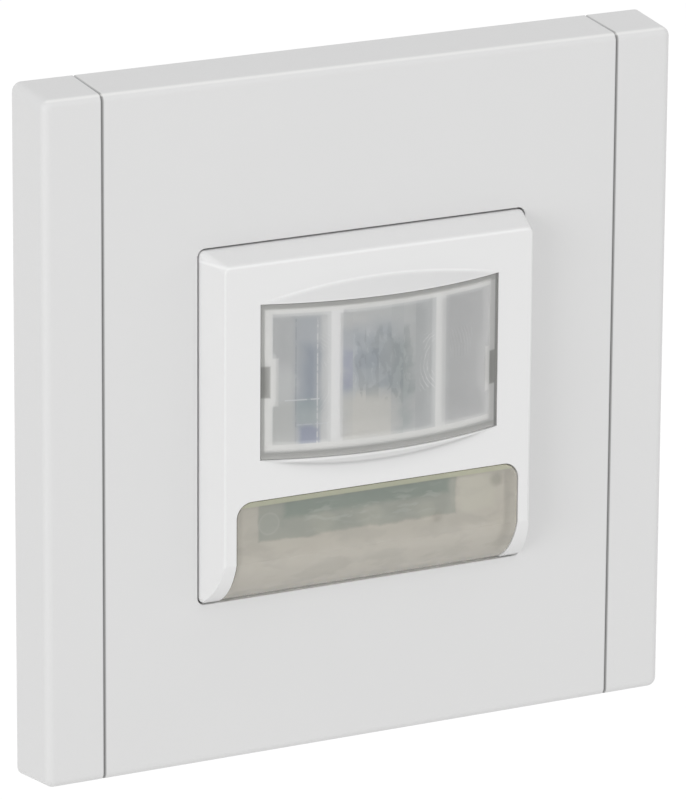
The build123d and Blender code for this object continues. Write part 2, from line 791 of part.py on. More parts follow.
with BuildPart() as pir_window:
    with BuildSketch(ahead(can_front - 2 * sensor_pane_depth)):
        with Locations((0, window_rise)):
            Rectangle(sensor_pane_width, sensor_pane_height)
    extrude(amount=sensor_pane_depth)
pir_window.part.label = "pir_window"

# Daylight sensor: a clear domed lamp-shaped body
with BuildPart() as light_sensor:
    with BuildSketch(ahead(board_front)):
        with Locations((light_sensor_x, window_rise)):
            Circle(light_sensor_diameter / 2)
    extrude(amount=light_sensor_height - light_sensor_diameter / 2)
    with Locations((light_sensor_x, -board_front - light_sensor_height + light_sensor_diameter / 2,
                    window_rise)):
        Sphere(light_sensor_diameter / 2)
light_sensor.part.label = "light_sensor"

# Status lamp: a low dome with a collar
with BuildPart() as status_led:
    with BuildSketch(ahead(board_front)):
        with Locations((led_x, setting_row)):
            Circle(led_flange / 2)
    extrude(amount=sensor_flange)
    with BuildSketch(ahead(board_front)):
        with Locations((led_x, setting_row)):
            Circle(led_diameter / 2)
    extrude(amount=led_height)
    fillet(status_led.faces().sort_by(Axis.Y)[0].edges(), led_height / 4)
status_led.part.label = "status_led"

# Two trimmers, each a square base with a boss hole, and a slotted dial that turns in it
bases = {}
dials = {}
for name, place in (("time", time_x), ("light", light_x)):
    with BuildPart() as base:
        with BuildSketch(ahead(board_front)) as foot:
            with Locations((place, setting_row)):
                Rectangle(trimmer_side, trimmer_side)
            chamfer(foot.vertices(), trimmer_side / 8)
        extrude(amount=trimmer_height)
        with BuildSketch(ahead(board_front + trimmer_height / 3)):
            with Locations((place, setting_row)):
                Circle(dial_boss / 2 + fit_gap / 2)
        extrude(amount=trimmer_height, mode=Mode.SUBTRACT)
    base.part.label = name + "_trimmer"
    bases[name] = base
    with BuildPart() as dial:
        with BuildSketch(ahead(board_front + trimmer_height + fit_gap)):
            with Locations((place, setting_row)):
                Circle(dial_diameter / 2)
        extrude(amount=dial_height)
        fillet(dial.faces().sort_by(Axis.Y)[0].edges(), dial_height / 6)
        with BuildSketch(ahead(board_front + trimmer_height / 3 + fit_gap)):
            with Locations((place, setting_row)):
                Circle(dial_boss / 2)
        extrude(amount=2 * trimmer_height / 3)
        dial_face = board_front + trimmer_height + fit_gap + dial_height
        with BuildSketch(ahead(dial_face - dial_slot_depth)):
            with Locations((place, setting_row)):
                Rectangle(dial_diameter - 2 * dial_slot, dial_slot)
                Rectangle(dial_slot, dial_diameter / 2 - dial_slot, align=(Align.CENTER, Align.MIN))
        extrude(amount=dial_slot_depth + overrun, mode=Mode.SUBTRACT)
    dial.part.label = name + "_dial"
    dials[name] = dial

# Push switch behind the key: a body with a bore and the plunger that slides in it
with BuildPart() as switch_body:
    with BuildSketch(ahead(board_front)) as case:
        with Locations((switch_x, setting_row)):
            Rectangle(switch_side, trimmer_side)
        chamfer(case.vertices(), trimmer_side / 10)
    extrude(amount=switch_height)
    with BuildSketch(ahead(board_front + switch_height - plunger_sunk - plunger_travel_room)):
        with Locations((switch_x, setting_row)):
            Circle(plunger_diameter / 2 + fit_gap / 2)
    extrude(amount=plunger_sunk + plunger_travel_room + overrun, mode=Mode.SUBTRACT)
switch_body.part.label = "switch_body"

with BuildPart() as switch_plunger:
    with BuildSketch(ahead(board_front + switch_height - plunger_sunk)):
        with Locations((switch_x, setting_row)):
            Circle(plunger_diameter / 2)
    extrude(amount=plunger_sunk + plunger_proud)
    fillet(switch_plunger.faces().sort_by(Axis.Y)[0].edges(), plunger_diameter / 12)
switch_plunger.part.label = "switch_plunger"

# Controller chip with its row of feet down each side
with BuildPart() as control_chip:
    with BuildSketch(ahead(board_front)):
        with Locations((chip_x, chip_rise)):
            Rectangle(chip_length - 2 * pin_side, chip_width)
    extrude(amount=chip_height)
    chamfer(control_chip.faces().sort_by(Axis.Y)[0].edges(), chip_height / 6)
    with BuildSketch(ahead(board_front)):
        with Locations((chip_x, chip_rise)):
            with GridLocations(0, chip_width / 5, 1, 5):
                Rectangle(chip_length + pin_side, pin_side)
    extrude(amount=pin_side / 2)
control_chip.part.label = "control_chip"

# Pin header that joins the two boards
with BuildPart() as board_header:
    with BuildSketch(ahead(ledge + power_board_thickness)):
        with Locations((0, header_rise)):
            Rectangle(header_pins * header_pitch, header_width)
    extrude(amount=header_width)
    with BuildSketch(ahead(ledge - pin_proud)):
        with Locations((0, header_rise)):
            with GridLocations(header_pitch, 0, header_pins, 1):
                Rectangle(pin_side, pin_side)
    extrude(amount=board_front + pin_proud - ledge + pin_proud)
board_header.part.label = "board_header"

# Rear housing: a box with cut corners, a ledge for the power board and a terminal opening
terminal_half = pole_count * pole_pitch / 2 + terminal_margin
terminal_top = terminal_low + terminal_height
with BuildPart() as rear_housing:
    add(chamfered(housing_side, housing_corner, housing_back, 0))
    fillet(rear_housing.faces().sort_by(Axis.Y)[-1].edges(), housing_round)
    add(chamfered(housing_hollow, hollow_corner, ledge, overrun), mode=Mode.SUBTRACT)
    add(chamfered(ledge_hollow, hollow_corner - housing_ledge * (2 - math.sqrt(2)),
                  housing_back + housing_wall, ledge + overrun), mode=Mode.SUBTRACT)
    add(span(-terminal_half - fit_gap, terminal_half + fit_gap, terminal_low - fit_gap,
             terminal_top + fit_gap, housing_back - overrun, housing_back + housing_wall + overrun),
        mode=Mode.SUBTRACT)
    for side in (-1, 1):
        for level in (-1, 1):
            snap_z = level * snap_spacing / 2
            left, right = sorted((side * (housing_hollow / 2 - overrun),
                                  side * (housing_side / 2 + overrun)))
            add(span(left, right, snap_z - snap_width / 2 - fit_gap, snap_z + snap_width / 2 + fit_gap,
                     -3 * snap_height - fit_gap, -snap_height / 2 + fit_gap), mode=Mode.SUBTRACT)
rear_housing.part.label = "rear_housing"

# Power board on the housing's ledge
with BuildPart() as power_board:
    add(chamfered(2 * half_power_board, hollow_corner, ledge, ledge + power_board_thickness))
    with BuildSketch(ahead(ledge - overrun)):
        with Locations((0, header_rise)):
            with GridLocations(header_pitch, 0, header_pins, 1):
                Rectangle(pin_side + 2 * fit_gap, pin_side + 2 * fit_gap)
    extrude(amount=power_board_thickness + 2 * overrun, mode=Mode.SUBTRACT)
power_board.part.label = "power_board"

with BuildPart() as relay:
    with BuildSketch(ahead(ledge - relay_depth)):
        with Locations((relay_x, relay_rise)):
            RectangleRounded(relay_width, relay_height, can_round)
    extrude(amount=relay_depth)
    fillet(relay.faces().sort_by(Axis.Y)[-1].edges(), can_round)
relay.part.label = "relay"

with BuildPart() as film_capacitor:
    with BuildSketch(ahead(ledge - film_depth)):
        with Locations((film_x, film_rise)):
            RectangleRounded(film_width, film_height, can_round)
    extrude(amount=film_depth)
    fillet(film_capacitor.faces().sort_by(Axis.Y)[-1].edges(), can_round)
film_capacitor.part.label = "film_capacitor"

# Smoothing capacitors: two cans with a rolled groove near the base
with BuildPart() as smoothing_capacitors:
    for level in (-1, 1):
        can_rise = cap_rise + level * cap_spacing / 2
        with BuildSketch(side_view.offset(-cap_x)):
            with BuildLine():
                Polyline(
                    (ledge, can_rise),
                    (ledge, can_rise + cap_diameter / 2),
                    (ledge - cap_groove_width, can_rise + cap_diameter / 2),
                    (ledge - 3 * cap_groove_width / 2, can_rise + cap_diameter / 2 - cap_groove),
                    (ledge - 2 * cap_groove_width, can_rise + cap_diameter / 2),
                    (ledge - cap_length + can_round, can_rise + cap_diameter / 2),
                    (ledge - cap_length, can_rise + cap_diameter / 2 - can_round),
                    (ledge - cap_length, can_rise),
                    close=True,
                )
            make_face()
        revolve(axis=Axis((cap_x, 0, can_rise), (0, 1, 0)))
smoothing_capacitors.part.label = "smoothing_capacitors"

# Varistor: a coated disc standing on its edge on two leads
with BuildPart() as varistor:
    disc_front = ledge - varistor_lift - varistor_diameter / 2
    with BuildSketch(top_view.offset(-varistor_rise - varistor_thickness / 2)):
        with Locations((varistor_x, disc_front)):
            Circle(varistor_diameter / 2)
    extrude(amount=varistor_thickness)
    fillet(varistor.edges(), varistor_thickness / 4)
    for side in (-1, 1):
        with BuildSketch(ahead(ledge)):
            with Locations((varistor_x + side * varistor_diameter / 4, varistor_rise)):
                Circle(lead_diameter / 2)
        extrude(amount=-varistor_lift - varistor_diameter / 2)
varistor.part.label = "varistor"

# Fuse: a ceramic tube with two end caps, lying across the board on its leads
with BuildPart() as fuse:
    fuse_axis_front = ledge - fuse_lift - fuse_diameter / 2
    with BuildSketch(top_view.offset(-fuse_rise)):
        with BuildLine():
            Polyline(
                (film_x - fuse_length / 2, fuse_axis_front),
                (film_x - fuse_length / 2, fuse_axis_front + fuse_diameter / 2),
                (film_x - fuse_length / 2 + fuse_cap_length, fuse_axis_front + fuse_diameter / 2),
                (film_x - fuse_length / 2 + fuse_cap_length,
                 fuse_axis_front + fuse_diameter / 2 - fuse_cap_lip),
                (film_x + fuse_length / 2 - fuse_cap_length,
                 fuse_axis_front + fuse_diameter / 2 - fuse_cap_lip),
                (film_x + fuse_length / 2 - fuse_cap_length, fuse_axis_front + fuse_diameter / 2),
                (film_x + fuse_length / 2, fuse_axis_front + fuse_diameter / 2),
                (film_x + fuse_length / 2, fuse_axis_front),
                close=True,
            )
        make_face()
    revolve(axis=Axis((0, -fuse_axis_front, fuse_rise), (1, 0, 0)))
    for side in (-1, 1):
        with BuildSketch(ahead(ledge)):
            with Locations((film_x + side * (fuse_length - fuse_cap_length) / 2, fuse_rise)):
                Circle(lead_diameter / 2)
        extrude(amount=-fuse_lift - fuse_diameter / 2)
fuse.part.label = "fuse"

# Terminal block: one body with a wire hole, a screw hole and a clamp pocket for each pole
pole_places = [(step - (pole_count - 1) / 2) * pole_pitch for step in range(pole_count)]
clamp_centre = (terminal_low + terminal_top) / 2
wire_rise = clamp_centre - clamp_height / 4
screw_rise = clamp_centre + clamp_height / 4
clamp_back = housing_back + clamp_setback
with BuildPart() as terminal_block:
    add(span(-terminal_half, terminal_half, terminal_low, terminal_top, housing_back, ledge))
    for place in pole_places:
        add(span(place - clamp_width / 2 - fit_gap, place + clamp_width / 2 + fit_gap,
                 clamp_centre - clamp_height / 2 - fit_gap, clamp_centre + clamp_height / 2 + fit_gap,
                 clamp_back, clamp_back + clamp_depth + fit_gap), mode=Mode.SUBTRACT)
        with BuildSketch(ahead(housing_back - overrun)):
            with Locations((place, wire_rise)):
                Circle(wire_hole_diameter / 2)
            with Locations((place, screw_rise)):
                Circle(screw_hole_diameter / 2)
        extrude(amount=clamp_setback + 2 * overrun, mode=Mode.SUBTRACT)
        wire_mouth = terminal_block.edges().filter_by(GeomType.CIRCLE).filter_by(
            lambda edge: abs(edge.arc_center.X - place) < fit_gap
            and abs(edge.arc_center.Z - wire_rise) < fit_gap
            and abs(edge.arc_center.Y + housing_back) < fit_gap)
        chamfer(wire_mouth, wire_hole_flare)
terminal_block.part.label = "terminal_block"

with BuildPart() as terminal_clamps:
    for place in pole_places:
        add(span(place - clamp_width / 2, place + clamp_width / 2, clamp_centre - clamp_height / 2,
                 clamp_centre + clamp_height / 2, clamp_back + fit_gap, clamp_back + clamp_depth))
        with BuildSketch(ahead(clamp_back)):
            with Locations((place, wire_rise)):
                Circle(wire_hole_diameter / 2)
            with Locations((place, screw_rise)):
                Circle(clamp_bore / 2)
        extrude(amount=clamp_depth + overrun, mode=Mode.SUBTRACT)
terminal_clamps.part.label = "terminal_clamps"

with BuildPart() as terminal_screws:
    for place in pole_places:
        head_back = clamp_back + fit_gap - screw_head_height - fit_gap
        with BuildSketch(ahead(head_back)):
            with Locations((place, screw_rise)):
                Circle(screw_head_diameter / 2)
        extrude(amount=screw_head_height)
        with BuildSketch(ahead(head_back)):
            with Locations((place, screw_rise)):
                Circle(screw_shank_diameter / 2)
        extrude(amount=screw_length + screw_head_height)
        with BuildSketch(ahead(head_back - overrun)):
            with Locations((place, screw_rise)):
                Rectangle(screw_head_diameter + overrun, screw_slot, rotation=screw_slot_turn)
        extrude(amount=screw_slot_depth + overrun, mode=Mode.SUBTRACT)
terminal_screws.part.label = "terminal_screws"

pieces = [
    cover_plate, strips["left_strip"], strips["right_strip"], front_cover, fresnel_lens, lens_frame,
    override_key, carrier_frame, support_frame, sensor_board, pir_sensor, pir_window, light_sensor,
    status_led, bases["time"], bases["light"], dials["time"], dials["light"], switch_body,
    switch_plunger, control_chip, board_header, rear_housing, power_board, relay, film_capacitor,
    smoothing_capacitors, varistor, fuse, terminal_block, terminal_clamps, terminal_screws,
]
for piece in pieces:
    export_step(piece.part, "parts/" + piece.part.label + ".step")
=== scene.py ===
import math

import bmesh
import bpy
from mathutils import Matrix, Vector


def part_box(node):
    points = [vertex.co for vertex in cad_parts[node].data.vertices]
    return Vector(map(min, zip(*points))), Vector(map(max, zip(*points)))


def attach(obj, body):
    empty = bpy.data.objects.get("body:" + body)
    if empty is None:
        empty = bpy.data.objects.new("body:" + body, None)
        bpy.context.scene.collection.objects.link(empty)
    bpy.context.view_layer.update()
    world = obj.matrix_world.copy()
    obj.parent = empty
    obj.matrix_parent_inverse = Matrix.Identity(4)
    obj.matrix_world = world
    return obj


bl_info = {
    "name": "Motion Sensor Light Switch",
    "version": (1, 0, 0),
    "blender": (4, 5, 0),
    "location": "3D View > Sidebar > Switch",
    "description": "Finishes and lights a flush wall switch with a motion sensor",
    "category": "Object",
}

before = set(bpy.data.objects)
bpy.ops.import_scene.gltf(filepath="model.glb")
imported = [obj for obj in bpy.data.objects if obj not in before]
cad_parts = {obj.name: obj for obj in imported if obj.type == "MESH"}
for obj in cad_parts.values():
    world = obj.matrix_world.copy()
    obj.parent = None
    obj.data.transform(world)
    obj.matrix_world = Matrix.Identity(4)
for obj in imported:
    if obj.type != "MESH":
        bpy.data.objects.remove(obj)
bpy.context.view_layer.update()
MM = 0.001


def linear(code):
    """Turns an sRGB hex colour into linear numbers."""
    shares = [int(code[place:place + 2], 16) / 255 for place in (1, 3, 5)]
    return tuple(s / 12.92 if s <= 0.04045 else ((s + 0.055) / 1.055) ** 2.4 for s in shares)


def fill(tree, node, inputs):
    """Fills a node's inputs with values, other nodes' outputs, or other nodes for their first output."""
    for key, value in inputs.items():
        if isinstance(value, bpy.types.Node):
            value = value.outputs[0]
        if isinstance(value, bpy.types.NodeSocket):
            tree.links.new(value, node.inputs[key])
        else:
            node.inputs[key].default_value = value


def add(tree, kind, inputs=None, **settings):
    """Adds a node, sets its properties and fills its inputs.

    A mix takes its share as input 0 and its two colours as 6 and 7. A map range takes a value as input 0, and
    gives nothing where that is input 1 and one where it is input 2, or else what inputs 3 and 4 say."""
    made = tree.nodes.new("ShaderNode" + kind)
    for name, value in settings.items():
        setattr(made, name, value)
    fill(tree, made, inputs or {})
    return made


def paint(code):
    """A hex colour as the four numbers that a colour socket takes."""
    return (*linear(code), 1.0)


def colour_field(label, note, code):
    """A colour setting with its default."""
    return bpy.props.FloatVectorProperty(
        name=label, description=note, subtype="COLOR", size=3, min=0.0, max=1.0, default=linear(code))


def length_field(label, note, millimetres):
    """A length setting with its default, in metres."""
    return bpy.props.FloatProperty(
        name=label, description=note, subtype="DISTANCE", unit="LENGTH", min=0.0, default=millimetres * MM)


def share_field(label, note, value):
    """A share from nothing to all."""
    return bpy.props.FloatProperty(
        name=label, description=note, subtype="FACTOR", min=0.0, max=1.0, default=value)


class SwitchFinish(bpy.types.PropertyGroup):
    """Colours and surface sizes of the switch."""

    plate_colour: colour_field("Plate", "White of the cover plate and its strips", "#e1e1e1")
    insert_colour: colour_field("Insert", "White of the insert cover", "#eaeaea")
    frame_colour: colour_field("Inner frame", "White of the frame behind the lens", "#eeeeec")
    lens_colour: colour_field("Lens", "Milky tint of the lens", "#ebecec")
    key_colour: colour_field("Key", "Smoky tint of the key", "#e4dfd4")
    board_colour: colour_field("Board", "Solder mask of the boards", "#4f6a5c")
    housing_colour: colour_field("Housing", "Grey of the rear housing", "#7d8083")
    grain: length_field("Grain", "Width of the moulded grain", 0.3)
    grain_depth: length_field("Grain depth", "Depth of the moulded grain", 0.0015)
    lens_haze: share_field("Lens haze", "How rough the light's way through the lens is", 0.3)
    lens_clear: share_field("Lens clearness", "Light that goes straight through each face of the lens", 0.42)
    key_haze: share_field("Key haze", "How rough the light's way through the key is", 0.22)
    key_clear: share_field("Key clearness", "Light that goes straight through each face of the key", 0.36)


class SwitchStage(bpy.types.PropertyGroup):
    """Camera and lights."""

    turn: bpy.props.FloatProperty(name="Turn", description="Camera's turn round the switch",
                                  subtype="ANGLE", default=math.radians(-27.79))
    lift: bpy.props.FloatProperty(name="Lift", description="Camera's height above level",
                                  subtype="ANGLE", default=math.radians(16.71))
    roll: bpy.props.FloatProperty(name="Roll", description="Camera's roll",
                                  subtype="ANGLE", default=math.radians(0.385))
    distance: length_field("Distance", "Camera's distance from its target", 816.8)
    lens: bpy.props.FloatProperty(name="Lens", description="Focal length in millimetres", unit="CAMERA",
                                  default=296.58)
    ambient: share_field("Ambient", "Light from all round", 0.67)
    key_level: share_field("Key light", "Light on a face turned to the key light", 0.24)
    low_level: share_field("Low light", "Light on a face turned to the low front light", 0.11)
    top_level: share_field("Top light", "Light on a face turned to the top front light", 0.13)
    fill_level: share_field("Fill light", "Light on a face turned to the light at the right", 0.06)
    floor_drop: length_field("Floor", "Floor's distance below the switch's middle", 150.0)


# Building blocks of the surfaces

# Nearly all of a noise's values lie between these two
NOISE_SPAN = (0.3, 0.7)
# For a map range that eases in and out
SMOOTH = {"interpolation_type": "SMOOTHSTEP"}


def new_tree(name):
    """A new node material, its tree, its shader and the place on the object."""
    made = bpy.data.materials.new(name)
    made.use_nodes = True
    tree = made.node_tree
    tree.nodes.clear()
    shader = add(tree, "BsdfPrincipled")
    add(tree, "OutputMaterial", {"Surface": shader})
    place = add(tree, "TexCoord").outputs["Object"]
    return made, tree, shader, place


def lumps(tree, place, size, detail=2.0, stretch=(1.0, 1.0, 1.0)):
    """Random lumps about this size in metres, drawn out along an axis whose part of the stretch is small."""
    drawn = add(tree, "Mapping", {"Vector": place, "Scale": stretch})
    return add(tree, "TexNoise", {"Vector": drawn, "Scale": 1 / size, "Detail": detail})


def patchy(tree, place, size, darker, lighter):
    """A darker and a lighter colour in random patches about this size in metres."""
    return add(tree, "Mix", {0: lumps(tree, place, size), 6: darker, 7: lighter},
               data_type="RGBA").outputs[2]


def toned(colour, share):
    """The same colour, darker or lighter by a share."""
    return (*[min(1.0, part * share) for part in colour[:3]], 1.0)


def surface(name, colour, drift=0.03, patch=6.0, grain=0.35, depth=0.004, rough=(0.4, 0.5),
            stretch=(1.0, 1.0, 1.0), **shader_values):
    """A finish whose colour drifts a little in patches, with a fine grain in its height and roughness.

    Patch and grain are sizes in millimetres, and depth is the height of the grain."""
    made, tree, shader, place = new_tree(name)
    tone = patchy(tree, place, patch * MM, toned(colour, 1 - drift), toned(colour, 1 + drift))
    fine = lumps(tree, place, grain * MM, stretch=stretch)
    dullness = add(tree, "MapRange", {0: fine, 1: NOISE_SPAN[0], 2: NOISE_SPAN[1], 3: rough[0], 4: rough[1]},
                   **SMOOTH)
    bump = add(tree, "Bump", {"Height": fine, "Strength": 1.0, "Distance": depth * MM})
    fill(tree, shader, {"Base Color": tone, "Roughness": dullness, "Normal": bump})
    fill(tree, shader, {key.replace("_", " "): value for key, value in shader_values.items()})
    return made, tree, shader, place, tone


def box_mask(tree, place, box, soft):
    """One inside an upright box given by its left, right, low and high in millimetres, with soft edges."""
    left, right, low, high = [value * MM for value in box]
    middle = ((left + right) / 2, 0.0, (low + high) / 2)
    half = ((right - left) / 2, 0.0, (high - low) / 2)
    from_middle = add(tree, "VectorMath", {0: place, 1: middle}, operation="SUBTRACT")
    apart = add(tree, "VectorMath", {0: from_middle}, operation="ABSOLUTE")
    outside = add(tree, "VectorMath", {0: apart, 1: half}, operation="SUBTRACT")
    parts = add(tree, "SeparateXYZ", {0: outside}).outputs
    furthest = add(tree, "Math", {0: parts["X"], 1: parts["Z"]}, operation="MAXIMUM")
    return add(tree, "MapRange", {0: furthest, 1: soft * MM, 2: -soft * MM}, **SMOOTH)


def give(material, *nodes):
    """Puts a material on CAD nodes."""
    for node in nodes:
        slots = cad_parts[node].data.materials
        slots.clear()
        slots.append(material)


def opaque_white(name, colour, grain, depth, rough, coat=0.0):
    """Injection-moulded white: a soft sheen broken by the grain of the mould.

    The real grain is under a tenth of a millimetre and wouldn't show, so it is drawn coarser."""
    return surface(name, colour, drift=0.008, patch=14.0, grain=grain, depth=depth, rough=rough, IOR=1.53,
                   Coat_Weight=coat, Coat_Roughness=0.25)


# Width of each side strip, and how far the painted shade in the seam beside it reaches, in millimetres
STRIP_WIDTH = 8.15
SEAM_REACH = 0.27
# Painted shade in the seam: its tint with its share on the front and on the top face, and where below the top
# the one turns into the other
SEAM_SHADE_TINT = "#7c7c7c"
SEAM_ON_FRONT = 0.78
SEAM_ON_TOP = 0.35
SEAM_TURN = (1.2, 0.1)
# Where a painted highlight runs as a paler line along an upper edge: how far below the top, and how far it
# reaches either way
PLATE_GLINT = (0.72, 0.34)
INSERT_GLINT = (1.25, 0.3)
# Each painted highlight's tint with its share
PLATE_GLINT_TINT = ("#fdfdfb", 0.7)
INSERT_GLINT_TINT = ("#ffffff", 0.5)
# The painted highlight on the plate keeps to its front: how far behind the front it begins and ends to fade
GLINT_FADE = (0.3, 0.9)
# The lower wall of the plate's opening under the key gets painted light that lifts its shade: left, right,
# low and high with how soft its edge is, and how far behind the front it starts
PLATE_SILL = ((-22.7, 22.7, -23.1, -22.6), 0.05)
SILL_START = (0.05, 0.15)
SILL_LIGHT_TINT = "#fdfdfc"
# The window in the insert: half its width, its lower and upper edges, and how far its lips reach beyond them
WINDOW_HALF = 16.5
WINDOW_LOW = -3.6
WINDOW_TOP = 16.2
LIP_DROP = 2.1
LIP_RISE = 1.7
# Painted soft shade and painted highlight along the rim of each lip: where each lies from the edge, how far
# it reaches, its tint and share
LOW_LIP_SHADE = (0.15, 0.55, "#c4c4c4", 0.7)
LOW_LIP_HIGHLIGHT = (-0.35, 0.5, "#ffffff", 0.9)
TOP_LIP_SHADE = (-0.3, 0.2, "#dadada", 0.5)
TOP_LIP_HIGHLIGHT = (0.1, 0.25, "#ffffff", 0.4)
# How far out the bow of a lip is where its painted shade and highlight are full
LIP_FULL = 0.5
# Gloss of the whites, from the smoothest to the roughest spot
PLATE_ROUGH = (0.42, 0.52)
INSERT_ROUGH = (0.3, 0.36)
FRAME_ROUGH = (0.5, 0.6)
INSERT_COAT = 0.15


def near(tree, value, middle, reach):
    """One where a value is at a middle, fading to nothing where it is a reach away, both in millimetres."""
    off = add(tree, "Math", {0: value, 1: middle * MM}, operation="SUBTRACT")
    distance = add(tree, "Math", {0: off}, operation="ABSOLUTE")
    return add(tree, "MapRange", {0: distance, 1: reach * MM, 2: 0.0}, **SMOOTH)


def plate_white(settings):
    """The plate's white. It has painted shade in the narrow seams beside the strips, a painted highlight in a
    line along its upper edge, and painted light on the wall of the opening under the key."""
    made, tree, shader, place, tone = opaque_white(
        "spark_grained_white_abs", (*settings.plate_colour, 1.0), settings.grain / MM,
        settings.grain_depth / MM, PLATE_ROUGH)
    low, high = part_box("right_strip")
    parts = add(tree, "SeparateXYZ", {0: place}).outputs
    # Painted shade darkens the narrow seams beside the strips, more on the front than on the top face
    side = add(tree, "Math", {0: parts["X"]}, operation="ABSOLUTE")
    off = add(tree, "Math", {0: side, 1: high.x - STRIP_WIDTH * MM}, operation="SUBTRACT")
    distance = add(tree, "Math", {0: off}, operation="ABSOLUTE")
    dark = add(tree, "MapRange", {0: distance, 1: SEAM_REACH * MM, 2: SEAM_REACH / 2 * MM}, **SMOOTH)
    strength = add(tree, "MapRange",
                   {0: parts["Z"], 1: high.z - SEAM_TURN[0] * MM, 2: high.z - SEAM_TURN[1] * MM,
                    3: SEAM_ON_FRONT, 4: SEAM_ON_TOP}, **SMOOTH)
    seam_shade = add(tree, "Math", {0: dark, 1: strength}, operation="MULTIPLY")
    tone = tinted(tree, tone, seam_shade, SEAM_SHADE_TINT)
    # A painted highlight runs as a paler line along the plate's upper front edge
    on_front = add(tree, "MapRange",
                   {0: parts["Y"], 1: low.y + GLINT_FADE[1] * MM, 2: low.y + GLINT_FADE[0] * MM},
                   **SMOOTH)
    line = near(tree, parts["Z"], high.z / MM - PLATE_GLINT[0], PLATE_GLINT[1])
    glint = add(tree, "Math", {0: line, 1: on_front}, operation="MULTIPLY")
    tone = tinted(tree, tone, glint, *PLATE_GLINT_TINT)
    # Painted light lifts the shade on the lower wall of the opening under the key
    behind = add(tree, "MapRange",
                 {0: parts["Y"], 1: low.y + SILL_START[0] * MM, 2: low.y + SILL_START[1] * MM},
                 **SMOOTH)
    sill_light = add(tree, "Math", {0: box_mask(tree, place, *PLATE_SILL), 1: behind}, operation="MULTIPLY")
    fill(tree, shader, {"Base Color": tinted(tree, tone, sill_light, SILL_LIGHT_TINT)})
    return made


def insert_white(settings):
    """The insert's brighter white. Its upper edge and the rims of the window's lips have painted highlights,
    and the lips have painted soft shade inside their rims."""
    made, tree, shader, place, tone = opaque_white(
        "satin_moulded_white_polycarbonate", (*settings.insert_colour, 1.0), settings.grain / MM,
        settings.grain_depth / MM / 4, INSERT_ROUGH, INSERT_COAT)
    parts = add(tree, "SeparateXYZ", {0: place}).outputs
    height = parts["Z"]
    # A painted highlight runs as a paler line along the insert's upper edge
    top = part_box("front_cover")[1].z / MM
    glint = near(tree, height, top - INSERT_GLINT[0], INSERT_GLINT[1])
    tone = tinted(tree, tone, glint, *INSERT_GLINT_TINT)
    # The lips bow out from the window's edges as one less the square of the way to its side
    across = add(tree, "Math", {0: parts["X"], 1: 1 / (WINDOW_HALF * MM)}, operation="MULTIPLY")
    square = add(tree, "Math", {0: across, 1: 2.0}, operation="POWER")
    bow = add(tree, "Math", {0: 1.0, 1: square}, operation="SUBTRACT")
    on_lip = add(tree, "MapRange", {0: bow, 1: 0.0, 2: LIP_FULL}, **SMOOTH)
    drop = add(tree, "Math", {0: bow, 1: LIP_DROP * MM}, operation="MULTIPLY")
    from_low_arc = add(tree, "Math", {0: height, 1: drop}, operation="ADD")
    # Under the window the low lip gets painted shade along its arc and a painted highlight along its rim
    for line, (start, reach, *tint) in ((from_low_arc, LOW_LIP_SHADE), (height, LOW_LIP_HIGHLIGHT)):
        mask = add(tree, "Math", {0: near(tree, line, WINDOW_LOW + start, reach), 1: on_lip},
                   operation="MULTIPLY")
        tone = tinted(tree, tone, mask, *tint)
    rise = add(tree, "Math", {0: bow, 1: LIP_RISE * MM}, operation="MULTIPLY")
    from_top_arc = add(tree, "Math", {0: height, 1: rise}, operation="SUBTRACT")
    # Over the window the top lip gets painted shade inside its rim
    start, reach, *tint = TOP_LIP_SHADE
    below_rim = add(tree, "MapRange", {0: from_top_arc, 1: WINDOW_TOP * MM, 2: (WINDOW_TOP + start) * MM},
                    **SMOOTH)
    above_lens = add(tree, "MapRange", {0: height, 1: WINDOW_TOP * MM, 2: (WINDOW_TOP + reach) * MM},
                     **SMOOTH)
    inside = add(tree, "Math", {0: below_rim, 1: on_lip}, operation="MULTIPLY")
    mask = add(tree, "Math", {0: inside, 1: above_lens}, operation="MULTIPLY")
    tone = tinted(tree, tone, mask, *tint)
    # The top lip's rim gets a painted highlight
    start, reach, *tint = TOP_LIP_HIGHLIGHT
    mask = add(tree, "Math", {0: near(tree, from_top_arc, WINDOW_TOP + start, reach), 1: on_lip},
               operation="MULTIPLY")
    fill(tree, shader, {"Base Color": tinted(tree, tone, mask, *tint)})
    return made


# Lens and key

# What lies behind the lens shows on it as soft tints: left, right, low and high in millimetres, how soft the
# edge is, the tint and its share
SIDE_CLOUDS = [
    ((-12.4, -9.3, -2.6, 14.4), 0.5, "#cacfd8", 0.6),
    ((-11.5, -9.5, 3.0, 10.6), 1.2, "#b0b8c6", 0.7),
    ((-12.2, -9.4, 0.6, 4.0), 0.5, "#c0cecc", 0.4),
    ((-12.0, -9.3, -2.4, 0.5), 0.35, "#a9b0ca", 0.65),
    ((-15.2, -12.4, 8.0, 14.5), 2.0, "#d4d5d7", 0.7),
    ((-15.2, -12.4, -2.8, 3.6), 0.6, "#e2e3e1", 0.7),
    ((8.2, 14.8, -2.4, 15.0), 0.6, "#d4d4d5", 0.6),
]
MIDDLE_CLOUDS = [
    ((-6.3, -0.2, 4.2, 11.6), 2.0, "#bec7d5", 0.6),
    ((-6.3, -5.4, 4.6, 9.4), 0.7, "#b2b6d4", 0.6),
    ((-4.6, 2.0, 3.8, 10.8), 1.5, "#b9c1c6", 0.5),
    ((0.9, 2.7, -1.8, 9.6), 0.5, "#c0c8c8", 0.6),
    ((-6.2, 0.6, -2.6, 3.4), 1.1, "#f7f4ed", 0.65),
    ((2.8, 6.2, -2.4, 14.6), 0.8, "#dedfdf", 0.6),
]
